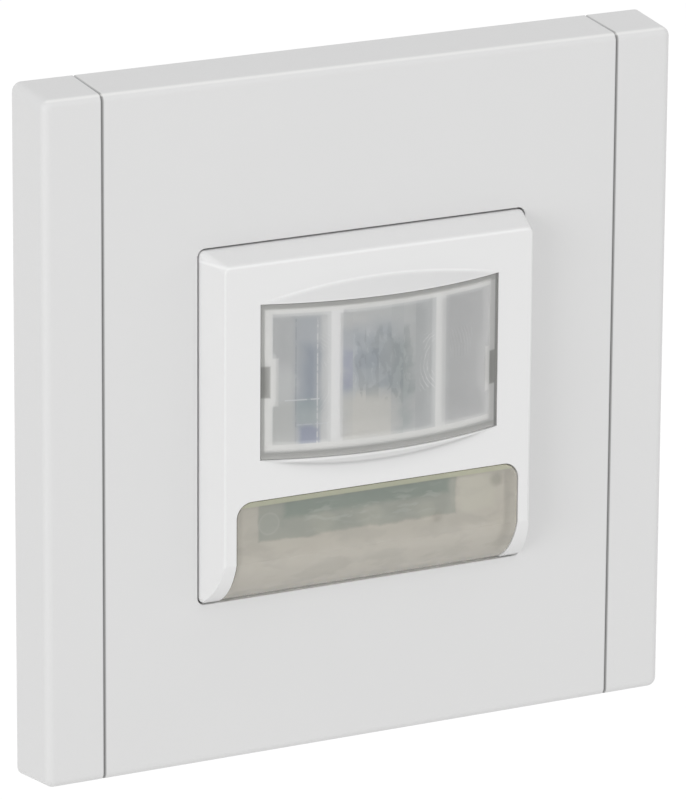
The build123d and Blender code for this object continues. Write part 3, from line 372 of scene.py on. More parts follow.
# The lens frame's two ribs touch the lens and show as pale bands
LENS_RIBS = [
    ((-7.95, -6.45, -2.9, 15.4), 0.15, "#ffffff", 0.9),
    ((6.45, 7.95, -2.9, 15.4), 0.15, "#fbfbfa", 0.9),
]
# The fields show inside the first box, the lens's pale rim between the two boxes, and its grey border outside
# the second one, each box with how soft its edge is
LENS_INSIDE = ((-15.05, 15.05, -1.7, 14.9), 0.1)
LENS_BORDER = ((-15.95, 15.98, -2.72, 15.42), 0.12)
RIM_TINT = ("#fdfdfb", 0.95)
BORDER_TINT = ("#e2e2df", 0.9)
# The rim steps inwards round a tab at either side
RIM_STEPS = [
    ((-15.2, -14.35, 3.2, 9.3), 0.15, *RIM_TINT),
    ((14.4, 15.1, 1.4, 7.1), 0.15, *RIM_TINT),
]
# The border has painted shade at the right, where no shade falls on it, and the two tabs are darker too
BORDER_SHADE_AND_TABS = [
    ((16.0, 17.0, -5.0, 17.0), 0.12, "#a2a29f", 0.9),
    ((-16.6, -15.3, 4.3, 8.3), 0.15, "#adada9", 0.85),
    ((15.1, 16.6, 2.1, 6.4), 0.15, "#adada9", 0.85),
]
# Steps between the moulded segments of the lens show as fine bright or dark lines
LENS_STEPS = [
    ((-9.75, -9.57, -2.5, 14.2), 0.05, "#ffffff", 0.9),
    ((-12.36, -12.22, -2.5, 14.2), 0.08, "#a7abb4", 0.5),
    ((-13.6, -9.4, 3.82, 3.98), 0.05, "#fbfdff", 1.0),
    ((-12.2, -8.4, 0.66, 0.8), 0.06, "#eef1f6", 0.8),
]
# Ring patterns of the lens: centre across and up, spacing of the rings, the part of the lens they cover, and
# how strongly they show
LENS_RINGS = [
    ((-13.4, 6.0), 0.42, (-9.2, -8.1, 0.6, 12.0), 0.5),
    ((8.4, 6.6), 0.5, (4.2, 6.3, 3.4, 10.6), 0.8),
    ((1.8, 7.0), 0.45, (8.6, 12.4, 6.8, 10.4), 0.35),
]
RING_TINT = "#f8f9f9"
# How soft the edge of that part is in the tint and in the relief, how much of a wave shows as its crest, and
# the size, stretch and span of the noise that breaks the rings up
RING_SOFT = 0.5
RIDGE_SOFT = 0.3
RING_CREST = (0.7, 0.95)
BREAK_SIZE = 1.3
BREAK_DRAW = (1.0, 1.0, 0.5)
BREAK_SPAN = (0.42, 0.56)
# The same for the dashes of the steps, with what is left of a step's line between two dashes
DASH_SIZE = 0.8
DASH_SPAN = (0.4, 0.5)
DASH_GAP = 0.3
# Upright facets across the middle of the lens, each a little lighter or darker than its neighbour: how wide
# they are, how far each shifts what it shows up or down, and how much of its width it shows
FACET_WIDTH = 1.72
FACET_RISE = 1.6
FACET_SPREAD = 0.35
LENS_FACETS = ((-6.4, 6.4, -2.5, 15.0), 0.1)
FACET_TINT = ("#b4bbc0", 0.25)
# Where the sensor behind the lens breaks up into upright streaks, their width, and how they are drawn out.
# Each kind of streak: where in the noise it begins and is full, its tint and its share
LENS_STREAKS = ((-5.2, 2.9, 2.6, 11.6), 0.7)
STREAK_WIDTH = 0.42
STREAK_DRAW = (1.0, 1.0, 0.08)
DARK_STREAK = (0.5, 0.56, "#98a0a4", 0.3)
PALE_STREAK = (0.4, 0.35, "#e6ebee", 0.5)
# How the edges of what shows in the lens wander: the size of the noise and how far it shifts them
SIDE_WANDER = (2.6, 1.2)
MIDDLE_WANDER = (2.2, 2.0)
STREAK_WANDER = (1.6, 0.5)
RING_WANDER = (1.2, 0.6)
# The milky tone's patches: their size, and how dark and light they are. The size of the fine relief
LENS_PATCH = 3.0
LENS_DRIFT = (0.95, 1.03)
LENS_GRAIN = 0.5
# How the lens and the key pass light: part of what isn't let straight through is scattered onwards
SCATTERED = 0.3
POLYETHYLENE_IOR = 1.5
POLYCARBONATE_IOR = 1.45
# The relief of both: its depth in millimetres and how strongly it shows
RELIEF_DEPTH = 0.03
RELIEF_SHARE = 0.5


def warped(tree, place, size, reach):
    """Shifts places by a noise, so that a mask's edge wanders. Size and reach are in millimetres."""
    wander = add(tree, "TexNoise", {"Vector": place, "Scale": 1 / (size * MM), "Detail": 3.0})
    centred = add(tree, "VectorMath", {0: wander.outputs["Color"], 1: (0.5, 0.5, 0.5)}, operation="SUBTRACT")
    shift = add(tree, "VectorMath", {0: centred, "Scale": reach * MM}, operation="SCALE")
    return add(tree, "VectorMath", {0: place, 1: shift}, operation="ADD")


def rings(tree, place, centre, spacing):
    """Concentric waves round a centre on the face. At scale one a wave is pi / 10 long."""
    moved = add(tree, "Mapping",
                {"Vector": place, "Location": (-centre[0] * MM, 0.0, -centre[1] * MM)})
    return add(tree, "TexWave", {"Vector": moved, "Scale": math.pi / 10 / (spacing * MM)},
               wave_type="RINGS", rings_direction="Y", wave_profile="SIN").outputs["Fac"]


def disc_mask(tree, place, centre, radius, soft):
    """One inside a disc on the face, fading at its edge."""
    flat = add(tree, "VectorMath", {0: place, 1: (1.0, 0.0, 1.0)}, operation="MULTIPLY")
    middle = (centre[0] * MM, 0.0, centre[1] * MM)
    away = add(tree, "VectorMath", {0: flat, 1: middle}, operation="DISTANCE").outputs["Value"]
    return add(tree, "MapRange", {0: away, 1: (radius + soft) * MM, 2: (radius - soft) * MM}, **SMOOTH)


def tinted(tree, tone, mask, code, share=1.0):
    """Lays a share of a tint over a tone where a mask says so."""
    part = add(tree, "Math", {0: mask, 1: share}, operation="MULTIPLY")
    return add(tree, "Mix", {0: part, 6: tone, 7: paint(code)}, data_type="RGBA").outputs[2]


def clouded(tree, place, tone, clouds):
    """Lays soft boxes of tint over a tone."""
    for box, soft, *tint in clouds:
        tone = tinted(tree, tone, box_mask(tree, place, box, soft), *tint)
    return tone


def translucent_shader(tree, shader, tone, height, clear, haze, index):
    """Sets a shader so that part of the light goes straight through and part is scattered."""
    bump = add(tree, "Bump",
               {"Height": height, "Strength": RELIEF_SHARE, "Distance": RELIEF_DEPTH * MM})
    fill(tree, shader, {"Base Color": tone, "Normal": bump, "Roughness": haze, "IOR": index,
                        "Alpha": 1 - clear, "Transmission Weight": SCATTERED})


def faceted(tree, place):
    """Places as the upright facets of the lens show them, each facet with a view of its own."""
    parts = add(tree, "SeparateXYZ", {0: place}).outputs
    steps = add(tree, "Math", {0: parts["X"], 1: FACET_WIDTH * MM}, operation="DIVIDE")
    step = add(tree, "Math", {0: steps}, operation="FLOOR")
    chance = add(tree, "TexWhiteNoise", {"W": step}, noise_dimensions="1D").outputs["Value"]
    half_way = add(tree, "Math", {0: step, 1: 0.5}, operation="ADD")
    middle = add(tree, "Math", {0: half_way, 1: FACET_WIDTH * MM}, operation="MULTIPLY")
    inner = add(tree, "Math", {0: parts["X"], 1: middle}, operation="SUBTRACT")
    spread = add(tree, "Math", {0: inner, 1: FACET_SPREAD}, operation="MULTIPLY")
    across = add(tree, "Math", {0: middle, 1: spread}, operation="ADD")
    centred = add(tree, "Math", {0: chance, 1: 0.5}, operation="SUBTRACT")
    rise = add(tree, "Math", {0: centred, 1: FACET_RISE * MM}, operation="MULTIPLY")
    height = add(tree, "Math", {0: parts["Z"], 1: rise}, operation="ADD")
    return add(tree, "CombineXYZ", {"X": across, "Y": parts["Y"], "Z": height}), chance


def fields_tone(tree, place, tone):
    """What shows in the three fields of the lens."""
    seen, chance = faceted(tree, place)
    tone = clouded(tree, warped(tree, place, *SIDE_WANDER), tone, SIDE_CLOUDS)
    soft_place = warped(tree, seen, *MIDDLE_WANDER)
    tone = clouded(tree, soft_place, tone, MIDDLE_CLOUDS)
    facets = add(tree, "Math", {0: chance, 1: box_mask(tree, place, *LENS_FACETS)}, operation="MULTIPLY")
    tone = tinted(tree, tone, facets, *FACET_TINT)
    streaks = lumps(tree, warped(tree, seen, *STREAK_WANDER), STREAK_WIDTH * MM, detail=3.0,
                    stretch=STREAK_DRAW)
    where = box_mask(tree, soft_place, *LENS_STREAKS)
    for start, end, *tint in (DARK_STREAK, PALE_STREAK):
        streak = add(tree, "MapRange", {0: streaks, 1: start, 2: end}, **SMOOTH)
        mask = add(tree, "Math", {0: streak, 1: where}, operation="MULTIPLY")
        tone = tinted(tree, tone, mask, *tint)
    breaks = lumps(tree, place, BREAK_SIZE * MM, stretch=BREAK_DRAW)
    broken = add(tree, "MapRange", {0: breaks, 1: BREAK_SPAN[0], 2: BREAK_SPAN[1]}, **SMOOTH)
    for centre, spacing, box, strength in LENS_RINGS:
        wave = rings(tree, warped(tree, place, *RING_WANDER), centre, spacing)
        crest = add(tree, "MapRange", {0: wave, 1: RING_CREST[0], 2: RING_CREST[1]}, **SMOOTH)
        inside = add(tree, "Math", {0: crest, 1: box_mask(tree, place, box, RING_SOFT)}, operation="MULTIPLY")
        mask = add(tree, "Math", {0: inside, 1: broken}, operation="MULTIPLY")
        tone = tinted(tree, tone, mask, RING_TINT, strength)
    dashes = add(tree, "MapRange",
                 {0: lumps(tree, place, DASH_SIZE * MM), 1: DASH_SPAN[0], 2: DASH_SPAN[1], 3: DASH_GAP},
                 **SMOOTH)
    for box, soft, *tint in LENS_STEPS:
        line = add(tree, "Math", {0: box_mask(tree, place, box, soft), 1: dashes}, operation="MULTIPLY")
        tone = tinted(tree, tone, line, *tint)
    return tone


def milky_lens(settings):
    """Thin moulded polyethylene: hazy, so that what lies behind shows as soft pale shapes."""
    made, tree, shader, place = new_tree("moulded_milky_polyethylene")
    base = (*settings.lens_colour, 1.0)
    tone = patchy(tree, place, LENS_PATCH * MM, *[toned(base, share) for share in LENS_DRIFT])
    tone = fields_tone(tree, place, tone)
    tone = clouded(tree, place, tone, LENS_RIBS)
    beyond_fields = add(tree, "Math", {0: 1.0, 1: box_mask(tree, place, *LENS_INSIDE)}, operation="SUBTRACT")
    tone = tinted(tree, tone, beyond_fields, *RIM_TINT)
    tone = clouded(tree, place, tone, RIM_STEPS)
    beyond_rim = add(tree, "Math", {0: 1.0, 1: box_mask(tree, place, *LENS_BORDER)}, operation="SUBTRACT")
    tone = tinted(tree, tone, beyond_rim, *BORDER_TINT)
    # Painted shade darkens the border at the right; the tabs are darker too
    tone = clouded(tree, place, tone, BORDER_SHADE_AND_TABS)
    height = lumps(tree, place, LENS_GRAIN * MM, detail=3.0)
    for centre, spacing, box, _ in LENS_RINGS:
        ridge = add(tree, "Math",
                    {0: rings(tree, place, centre, spacing), 1: box_mask(tree, place, box, RIDGE_SOFT)},
                    operation="MULTIPLY")
        height = add(tree, "Math", {0: height, 1: ridge}, operation="ADD")
    translucent_shader(tree, shader, tone, height, settings.lens_clear, settings.lens_haze,
                       POLYETHYLENE_IOR)
    return made


# The board and the lamp behind the key show on it as soft tints
KEY_CLOUDS = [
    ((-16.6, 10.8, -14.2, -9.2), 0.25, "#adb5ad", 0.6),
    ((-13.0, 9.8, -11.4, -9.3), 0.5, "#9baaa1", 0.6),
    ((11.4, 16.4, -14.2, -9.6), 0.6, "#e9e6d8", 0.6),
]
# Soft waves over the whole key, and paler streaks across the board: the size, the stretch and the span of the
# noise that makes them, and their tint with its share
SWIRL_SIZE = 2.6
SWIRL_DRAW = (0.4, 1.0, 1.0)
SWIRL_SPAN = (0.46, 0.62)
KEY_SWIRL = ("#b6b7b0", 0.22)
KEY_STREAK_SIZE = 0.9
KEY_STREAK_DRAW = (0.2, 1.0, 1.0)
KEY_STREAK_SPAN = (0.5, 0.62)
KEY_STREAK = ("#d3d8cf", 0.5)
# Where the streaks show, and how soft the edge of that is
KEY_STREAKS = ((-10.0, 8.4, -13.4, -10.2), 0.6)
# How the board, the waves and the streaks wander: the size of the noise and how far it shifts their edges
BOARD_WANDER = (2.6, 1.0)
SWIRL_WANDER = (5.0, 3.0)
KEY_STREAK_WANDER = (4.0, 1.6)
# The smoky tone's patches: their size, and how dark and light they are. The size and stretch of the relief
KEY_PATCH = 4.0
KEY_DRIFT = (0.95, 1.04)
KEY_RIPPLE = 2.4
RIPPLE_DRAW = (0.35, 1.0, 1.0)
# Discs on the key by centre, radius and how soft their edge is: the lamp, which has a thin paler rim, and the
# pin at the right
LAMP_CENTRE = (-15.2, -11.9)
LAMP_RADIUS = 1.45
LAMP_SOFT = 0.15
LAMP_RIM_WIDTH = 0.2
LAMP_RIM_SOFT = 0.12
LAMP_DISC = ("#cdd0c6", 0.3)
LAMP_RIM = ("#e6e8de", 0.2)
KEY_PIN = ((16.6, -10.6), 0.8, 0.5)
PIN_DISC = ("#96998f", 0.4)
# Above the one height the key's top edge has a painted highlight, and below the other its low edge has
# painted light that lifts the shade of the gap under it, each with how soft the change is
KEY_TOP_EDGE = (-9.45, 0.1)
KEY_LOW_EDGE = (-21.7, 0.5)
TOP_EDGE_HIGHLIGHT = ("#f4f4d8", 0.9)
LOW_EDGE_LIGHT = ("#fbf9f2", 0.85)


def smoky_key(settings):
    """Moulded polycarbonate with a smoky warm tint: glossy outside, hazy inside."""
    made, tree, shader, place = new_tree("moulded_smoky_polycarbonate")
    base = (*settings.key_colour, 1.0)
    tone = patchy(tree, place, KEY_PATCH * MM, *[toned(base, share) for share in KEY_DRIFT])
    soft_place = warped(tree, place, *BOARD_WANDER)
    swirls = lumps(tree, warped(tree, place, *SWIRL_WANDER), SWIRL_SIZE * MM, stretch=SWIRL_DRAW)
    swirl = add(tree, "MapRange", {0: swirls, 1: SWIRL_SPAN[0], 2: SWIRL_SPAN[1]}, **SMOOTH)
    tone = tinted(tree, tone, swirl, *KEY_SWIRL)
    tone = clouded(tree, soft_place, tone, KEY_CLOUDS)
    streaks = lumps(tree, warped(tree, place, *KEY_STREAK_WANDER), KEY_STREAK_SIZE * MM,
                    stretch=KEY_STREAK_DRAW)
    streak = add(tree, "MapRange", {0: streaks, 1: KEY_STREAK_SPAN[0], 2: KEY_STREAK_SPAN[1]}, **SMOOTH)
    pale = add(tree, "Math", {0: streak, 1: box_mask(tree, soft_place, *KEY_STREAKS)}, operation="MULTIPLY")
    tone = tinted(tree, tone, pale, *KEY_STREAK)
    lamp = disc_mask(tree, place, LAMP_CENTRE, LAMP_RADIUS, LAMP_SOFT)
    outer = disc_mask(tree, place, LAMP_CENTRE, LAMP_RADIUS, LAMP_RIM_SOFT)
    inner = disc_mask(tree, place, LAMP_CENTRE, LAMP_RADIUS - LAMP_RIM_WIDTH, LAMP_RIM_SOFT)
    rim = add(tree, "Math", {0: outer, 1: inner}, operation="SUBTRACT")
    tone = tinted(tree, tone, lamp, *LAMP_DISC)
    tone = tinted(tree, tone, rim, *LAMP_RIM)
    tone = tinted(tree, tone, disc_mask(tree, place, *KEY_PIN), *PIN_DISC)
    # A painted highlight along the key's top edge
    tone = tinted(tree, tone, edge_of(tree, place, "Z", *KEY_TOP_EDGE), *TOP_EDGE_HIGHLIGHT)
    height = add(tree, "SeparateXYZ", {0: place}).outputs["Z"]
    # Painted light on the key's low edge lifts the shade of the gap under it
    edge, soft = KEY_LOW_EDGE
    low_edge_light = add(tree, "MapRange", {0: height, 1: edge * MM, 2: (edge - soft) * MM}, **SMOOTH)
    tone = tinted(tree, tone, low_edge_light, *LOW_EDGE_LIGHT)
    ripple = lumps(tree, place, KEY_RIPPLE * MM, stretch=RIPPLE_DRAW)
    translucent_shader(tree, shader, tone, ripple, settings.key_clear, settings.key_haze,
                       POLYCARBONATE_IOR)
    return made


# Boards, metal and small parts

# Copper tracks under the mask: how long they run, how far apart they lie, how wide and how soft they are, how
# far each row is set off, how much paler they are, and the height of their relief with its share
TRACK_LENGTH = 5.5
TRACK_PITCH = 1.27
TRACK_WIDTH = 0.16
TRACK_SOFT = 0.2
TRACK_SHIFT = 0.37
TRACK_PALE = 1.5
TRACK_HEIGHT = 0.03
TRACK_RELIEF = 0.8


def laminate(settings):
    """Solder-masked laminate: copper tracks show as paler lines under the mask."""
    mask = (*settings.board_colour, 1.0)
    made, tree, shader, place, tone = surface(
        "solder_masked_laminate", mask, drift=0.05, patch=5.0, grain=0.5, depth=0.003, rough=(0.3, 0.42))
    turned = add(tree, "Mapping", {"Vector": place, "Rotation": (math.pi / 2, 0.0, 0.0)})
    tracks = add(tree, "TexBrick",
                 {"Vector": turned, "Scale": 1.0, "Brick Width": TRACK_LENGTH * MM,
                  "Row Height": TRACK_PITCH * MM, "Mortar Size": TRACK_WIDTH * MM,
                  "Mortar Smooth": TRACK_SOFT}, offset=TRACK_SHIFT).outputs["Fac"]
    pale = add(tree, "Mix", {0: tracks, 6: tone, 7: toned(mask, TRACK_PALE)}, data_type="RGBA")
    raised = add(tree, "Bump",
                 {"Height": tracks, "Strength": TRACK_RELIEF, "Distance": TRACK_HEIGHT * MM})
    fill(tree, shader, {"Base Color": pale.outputs[2], "Normal": raised})
    return made


def metal(name, code, rough, grain=0.3, stretch=(1.0, 1.0, 1.0), drift=0.05):
    """A plated or machined metal, with fine lines or a faint spangle in its gloss."""
    return surface(name, paint(code), drift=drift, patch=4.0, grain=grain, depth=0.002, rough=rough,
                   stretch=stretch, Metallic=1.0)[0]


def two_tone(name, first, second, test):
    """A part of two finishes, split where a test on its place says so."""
    made, tree, shader, place, tone = surface(name, paint(first), drift=0.03, patch=2.0, grain=0.4,
                                              depth=0.003, rough=(0.3, 0.42))
    where = test(tree, place)
    split = add(tree, "Mix", {0: where, 6: tone, 7: paint(second)}, data_type="RGBA")
    fill(tree, shader, {"Base Color": split.outputs[2], "Metallic": where})
    return made


# Where the header's strip ends and its bare pins start, how much of a capacitor's end its sleeve leaves bare,
# and how long the fuse's caps are, in millimetres
PIN_START = 6.2
CAN_END = 0.4
FUSE_CAP = 1.8


def edge_of(tree, place, axis, start, width=0.05):
    """One beyond a place along an axis, in millimetres."""
    along = add(tree, "SeparateXYZ", {0: place}).outputs[axis]
    return add(tree, "MapRange", {0: along, 1: (start - width) * MM, 2: (start + width) * MM}, **SMOOTH)


# Pieces made here


def finished(name, mesh_maker, body, materials):
    """Turns a bmesh into a piece with its place in its mesh, and lets it ride on a body."""
    shape = bmesh.new()
    mesh_maker(shape)
    bmesh.ops.remove_doubles(shape, verts=shape.verts, dist=1e-7)
    bmesh.ops.recalc_face_normals(shape, faces=shape.faces)
    mesh = bpy.data.meshes.new(name)
    shape.to_mesh(mesh)
    shape.free()
    piece = bpy.data.objects.new(name, mesh)
    bpy.context.scene.collection.objects.link(piece)
    for material in materials:
        mesh.materials.append(material)
    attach(piece, body)
    return piece


def rounded_block(shape, centre, size, edge, material):
    """A block with bevelled edges, by its centre and size in metres."""
    made = bmesh.ops.create_cube(shape, size=1.0)
    bmesh.ops.scale(shape, vec=size, verts=made["verts"])
    bmesh.ops.translate(shape, vec=centre, verts=made["verts"])
    edges = list({e for v in made["verts"] for e in v.link_edges})
    for face in {f for v in made["verts"] for f in v.link_faces}:
        face.material_index = material
    bmesh.ops.bevel(shape, geom=edges, offset=edge, segments=2, profile=0.5, affect="EDGES", material=-1)


# Chip parts on the sensor board's tongue and beside the sensor: across, up, along X or Z
CHIP_PARTS = [
    (-8.6, -12.9, "X"), (-8.6, -15.9, "X"), (-1.7, -12.7, "Z"), (5.0, -12.7, "Z"), (12.6, -13.2, "Z"),
    (12.6, -15.9, "Z"), (-6.8, -8.2, "X"), (6.6, -9.4, "X"), (9.2, -1.0, "Z"), (11.2, -1.0, "Z"),
    (-12.4, 0.6, "X"), (-12.4, 2.2, "X"), (6.2, 13.6, "X"), (-5.6, 14.2, "X"), (12.9, 3.4, "Z"),
]
# A chip's sizes in metres: its plated ends stand a little higher than its body, and its edges are rounded
CHIP_LENGTH = 1.6 * MM
CHIP_WIDTH = 0.8 * MM
CHIP_HEIGHT = 0.5 * MM
CHIP_END = 0.3 * MM
CHIP_END_HEIGHT = 0.52 * MM
CHIP_GAP = 0.02 * MM
CHIP_ROUND = 0.05 * MM


def make_chip_parts(shape):
    """Small resistors and capacitors on the board's front, each a body with two plated ends."""
    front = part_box("sensor_board")[0].y
    for across, up, along in CHIP_PARTS:
        centre = Vector((across * MM, front - CHIP_HEIGHT / 2 - CHIP_GAP, up * MM))
        lengthways = Vector((1, 0, 0)) if along == "X" else Vector((0, 0, 1))
        sideways = Vector((0, 0, 1)) if along == "X" else Vector((1, 0, 0))
        for way in (0, -1, 1):
            length = CHIP_END if way else CHIP_LENGTH - 2 * CHIP_END
            height = CHIP_END_HEIGHT if way else CHIP_HEIGHT
            size = lengthways * length + sideways * CHIP_WIDTH + Vector((0, height, 0))
            middle = centre + lengthways * way * (CHIP_LENGTH - CHIP_END) / 2
            rounded_block(shape, middle, size, CHIP_ROUND, abs(way))


# How many pins the header has, and in metres how far apart they are and the solder cone round each
HEADER_PINS = 6
PIN_PITCH = 2.0 * MM
SOLDER_FOOT = 0.75 * MM
SOLDER_TIP = 0.4 * MM
SOLDER_HEIGHT = 0.5 * MM


def make_solder(shape):
    """Solder cones round the header's pins, on the far side of either board."""
    low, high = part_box("board_header")
    row = (low.z + high.z) / 2
    for step in range(HEADER_PINS):
        across = (step - (HEADER_PINS - 1) / 2) * PIN_PITCH
        for face, way in ((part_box("sensor_board")[0].y, -1), (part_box("power_board")[1].y, 1)):
            made = bmesh.ops.create_cone(shape, cap_ends=True, segments=20, radius1=SOLDER_FOOT,
                                         radius2=SOLDER_TIP, depth=SOLDER_HEIGHT)
            turn = Matrix.Rotation(-way * math.pi / 2, 3, "X")
            bmesh.ops.rotate(shape, cent=(0, 0, 0), matrix=turn, verts=made["verts"])
            bmesh.ops.translate(shape, vec=(across, face + way * SOLDER_HEIGHT / 2, row),
                                verts=made["verts"])


# Steps


class FinishShell(bpy.types.Operator):
    """Gives the plate, its strips, the insert and the frames their moulded whites"""

    bl_idname = "switch.finish_shell"
    bl_label = "Finish shell"

    def execute(self, context):
        settings = context.scene.switch_finish
        plate = plate_white(settings)
        insert = insert_white(settings)
        inner = opaque_white("matt_moulded_white_polycarbonate", (*settings.frame_colour, 1.0),
                             settings.grain / MM, settings.grain_depth / MM, FRAME_ROUGH)[0]
        give(plate, "cover_plate", "left_strip", "right_strip")
        give(insert, "front_cover")
        give(inner, "lens_frame", "carrier_frame")
        return {"FINISHED"}


class FinishLens(bpy.types.Operator):
    """Gives the lens its milky haze and moulded rings"""

    bl_idname = "switch.finish_lens"
    bl_label = "Finish lens"

    def execute(self, context):
        give(milky_lens(context.scene.switch_finish), "fresnel_lens")
        return {"FINISHED"}


class FinishKey(bpy.types.Operator):
    """Gives the key its smoky translucent finish"""

    bl_idname = "switch.finish_key"
    bl_label = "Finish key"

    def execute(self, context):
        give(smoky_key(context.scene.switch_finish), "override_key")
        return {"FINISHED"}


class FinishBoards(bpy.types.Operator):
    """Gives the boards, their chips and their moulded parts their finishes"""

    bl_idname = "switch.finish_boards"
    bl_label = "Finish boards"

    def execute(self, context):
        settings = context.scene.switch_finish
        give(laminate(settings), "sensor_board", "power_board")
        # Moulded phenolic is black and matt
        black = surface("matt_moulded_black_phenolic", paint("#2b2c2e"), drift=0.06, grain=0.3,
                        rough=(0.45, 0.6))[0]
        give(black, "time_trimmer", "light_trimmer", "switch_body", "control_chip", "relay")
        # The header's strip is black nylon, and its pins are bright with tin
        pins = two_tone("black_nylon_with_tinned_pins", "#26272a", "#c9c8c2",
                        lambda tree, place: edge_of(tree, place, "Y", PIN_START))
        give(pins, "board_header")
        # Natural acetal is off-white with a waxy sheen
        acetal = surface("turned_natural_acetal", paint("#e3ddca"), drift=0.03, grain=0.2,
                         rough=(0.3, 0.4))[0]
        give(acetal, "time_dial", "light_dial", "switch_plunger")
        # Cast epoxy is clear and glossy
        epoxy = surface("clear_cast_epoxy", paint("#e6e9ea"), drift=0.02, grain=0.6, depth=0.002,
                        rough=(0.06, 0.12), Transmission_Weight=0.6, IOR=1.5)[0]
        give(epoxy, "status_led", "light_sensor")
        # The sensor's filter is polished and looks nearly black
        pane = surface("polished_infrared_filter", paint("#1b1b20"), drift=0.04, grain=0.8, depth=0.001,
                       rough=(0.05, 0.1))[0]
        give(pane, "pir_window")
        return {"FINISHED"}


class FinishMetal(bpy.types.Operator):
    """Gives the steel frame, the sensor's can, the screws and the clamps their metals"""

    bl_idname = "switch.finish_metal"
    bl_label = "Finish metal"

    def execute(self, context):
        # Zinc has a cloudy spangle, the nickel can fine level lines, and machined brass lines along its depth
        give(metal("zinc_plated_steel", "#b9bcc0", (0.28, 0.46), grain=0.5, drift=0.08), "support_frame")
        give(metal("nickel_plated_can", "#c9c4b8", (0.18, 0.3), stretch=(0.2, 1.0, 1.0)), "pir_sensor")
        give(metal("bright_zinc_screw", "#c2c5c8", (0.22, 0.36), grain=0.2), "terminal_screws")
        give(metal("machined_brass", "#c9a35a", (0.2, 0.34), grain=0.2, stretch=(1.0, 0.1, 1.0)),
             "terminal_clamps")
        return {"FINISHED"}


class FinishHousing(bpy.types.Operator):
    """Gives the rear housing, the terminals and the parts inside it their finishes"""

    bl_idname = "switch.finish_housing"
    bl_label = "Finish housing"

    def execute(self, context):
        settings = context.scene.switch_finish
        # Glass fibres give the grey nylon a rough, uneven skin
        nylon = surface("glass_filled_grey_nylon", (*settings.housing_colour, 1.0), drift=0.05, patch=3.0,
                        grain=0.4, depth=0.01, rough=(0.45, 0.62))[0]
        give(nylon, "rear_housing", "terminal_block")
        # The capacitor's case is smooth yellow polypropylene
        film = surface("moulded_yellow_polypropylene", paint("#cfa63a"), drift=0.04, rough=(0.3, 0.42))[0]
        give(film, "film_capacitor")
        # Dipping leaves the blue epoxy glossy and a little lumpy
        dipped = surface("dipped_blue_epoxy", paint("#2f5590"), drift=0.06, patch=2.0, grain=0.7,
                         depth=0.02, rough=(0.25, 0.4))[0]
        give(dipped, "varistor")
        # A dark sleeve covers the drawn cans but for their bright ends
        can_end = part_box("smoothing_capacitors")[1].y / MM - CAN_END
        sleeve = two_tone("sleeved_aluminium_can", "#23303f", "#c4c6c8",
                          lambda tree, place: edge_of(tree, place, "Y", can_end))
        give(sleeve, "smoothing_capacitors")
        # The fuse is fired ceramic, pale and dull, between two bright plated caps
        low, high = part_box("fuse")
        tube = (low.x / MM + FUSE_CAP, high.x / MM - FUSE_CAP, low.z / MM - 1, high.z / MM + 1)
        ceramic = two_tone(
            "ceramic_tube_with_plated_caps", "#e2dccd", "#c9cbcd",
            lambda tree, place: add(tree, "Math", {0: 1.0, 1: box_mask(tree, place, tube, 0.05)},
                                    operation="SUBTRACT"))
        give(ceramic, "fuse")
        return {"FINISHED"}


class AddBoardParts(bpy.types.Operator):
    """Adds the chip parts and the solder that the boards carry"""

    bl_idname = "switch.add_board_parts"
    bl_label = "Add board parts"

    def execute(self, context):
        # Chips are dark and dull, and reflowed tin is bright
        chip = surface("fired_thick_film_chip", paint("#3a3632"), drift=0.1, patch=1.0, grain=0.2,
                       rough=(0.35, 0.5))[0]
        tin = metal("reflowed_tin", "#c6c8c8", (0.2, 0.35), grain=0.2)
        chips = finished("board_chip_parts", make_chip_parts, "switch", [chip, tin])
        solder = finished("header_solder", make_solder, "switch", [tin])
        return {"FINISHED"}


class BuildStage(bpy.types.Operator):
    """Builds the floor, the lights, the world and the camera"""

    bl_idname = "switch.build_stage"
    bl_label = "Build stage"

    def execute(self, context):
        stage = context.scene.switch_stage
        build_camera(context, stage)
        build_world(context, stage)
        build_floor(context, stage)
        for name, direction, distance, size, level in LIGHTS:
            soft_light(context, name, Vector(direction), distance, size, getattr(stage, level))
        context.scene.view_settings.view_transform = "Standard"
        return {"FINISHED"}


# The point that the camera looks at, in millimetres
CAMERA_TARGET = (-1.098, -5.0, 0.031)
# Each light's name, its direction from the switch, its distance and its size in metres, and the setting that
# holds its level
LIGHTS = [
    ("key_light", (-0.87, -0.46, 0.17), 1.5, 0.8, "key_level"),
    ("right_fill", (0.85, -0.50, 0.15), 1.4, 0.9, "fill_level"),
    ("top_light", (0.10, -0.70, 0.70), 1.5, 0.5, "top_level"),
    ("low_fill", (-0.15, -0.50, -0.85), 1.4, 0.5, "low_level"),
]
# Half the floor's side in metres, how bright it glows where it is seen as the background, and by how much
FLOOR_HALF = 6.0
FLOOR_GLOW = 1.06
FLOOR_GLOW_SHARE = 0.9


def build_camera(context, stage):
    """A camera where the photograph was taken from."""
    data = bpy.data.cameras.new("photo_camera")
    camera = bpy.data.objects.new("photo_camera", data)
    context.scene.collection.objects.link(camera)
    back = Vector((math.sin(stage.turn) * math.cos(stage.lift), -math.cos(stage.turn) * math.cos(stage.lift),
                   math.sin(stage.lift)))
    target = Vector(CAMERA_TARGET) * MM
    right = (-back).cross(Vector((0, 0, 1))).normalized()
    up = right.cross(-back)
    across = right * math.cos(stage.roll) + up * math.sin(stage.roll)
    upward = up * math.cos(stage.roll) - right * math.sin(stage.roll)
    turned = Matrix((across, upward, back)).transposed().to_4x4()
    camera.matrix_world = Matrix.Translation(target + back * stage.distance) @ turned
    data.sensor_width = 36.0
    data.lens = stage.lens
    data.clip_start = 0.05
    data.clip_end = 50.0
    context.scene.camera = camera


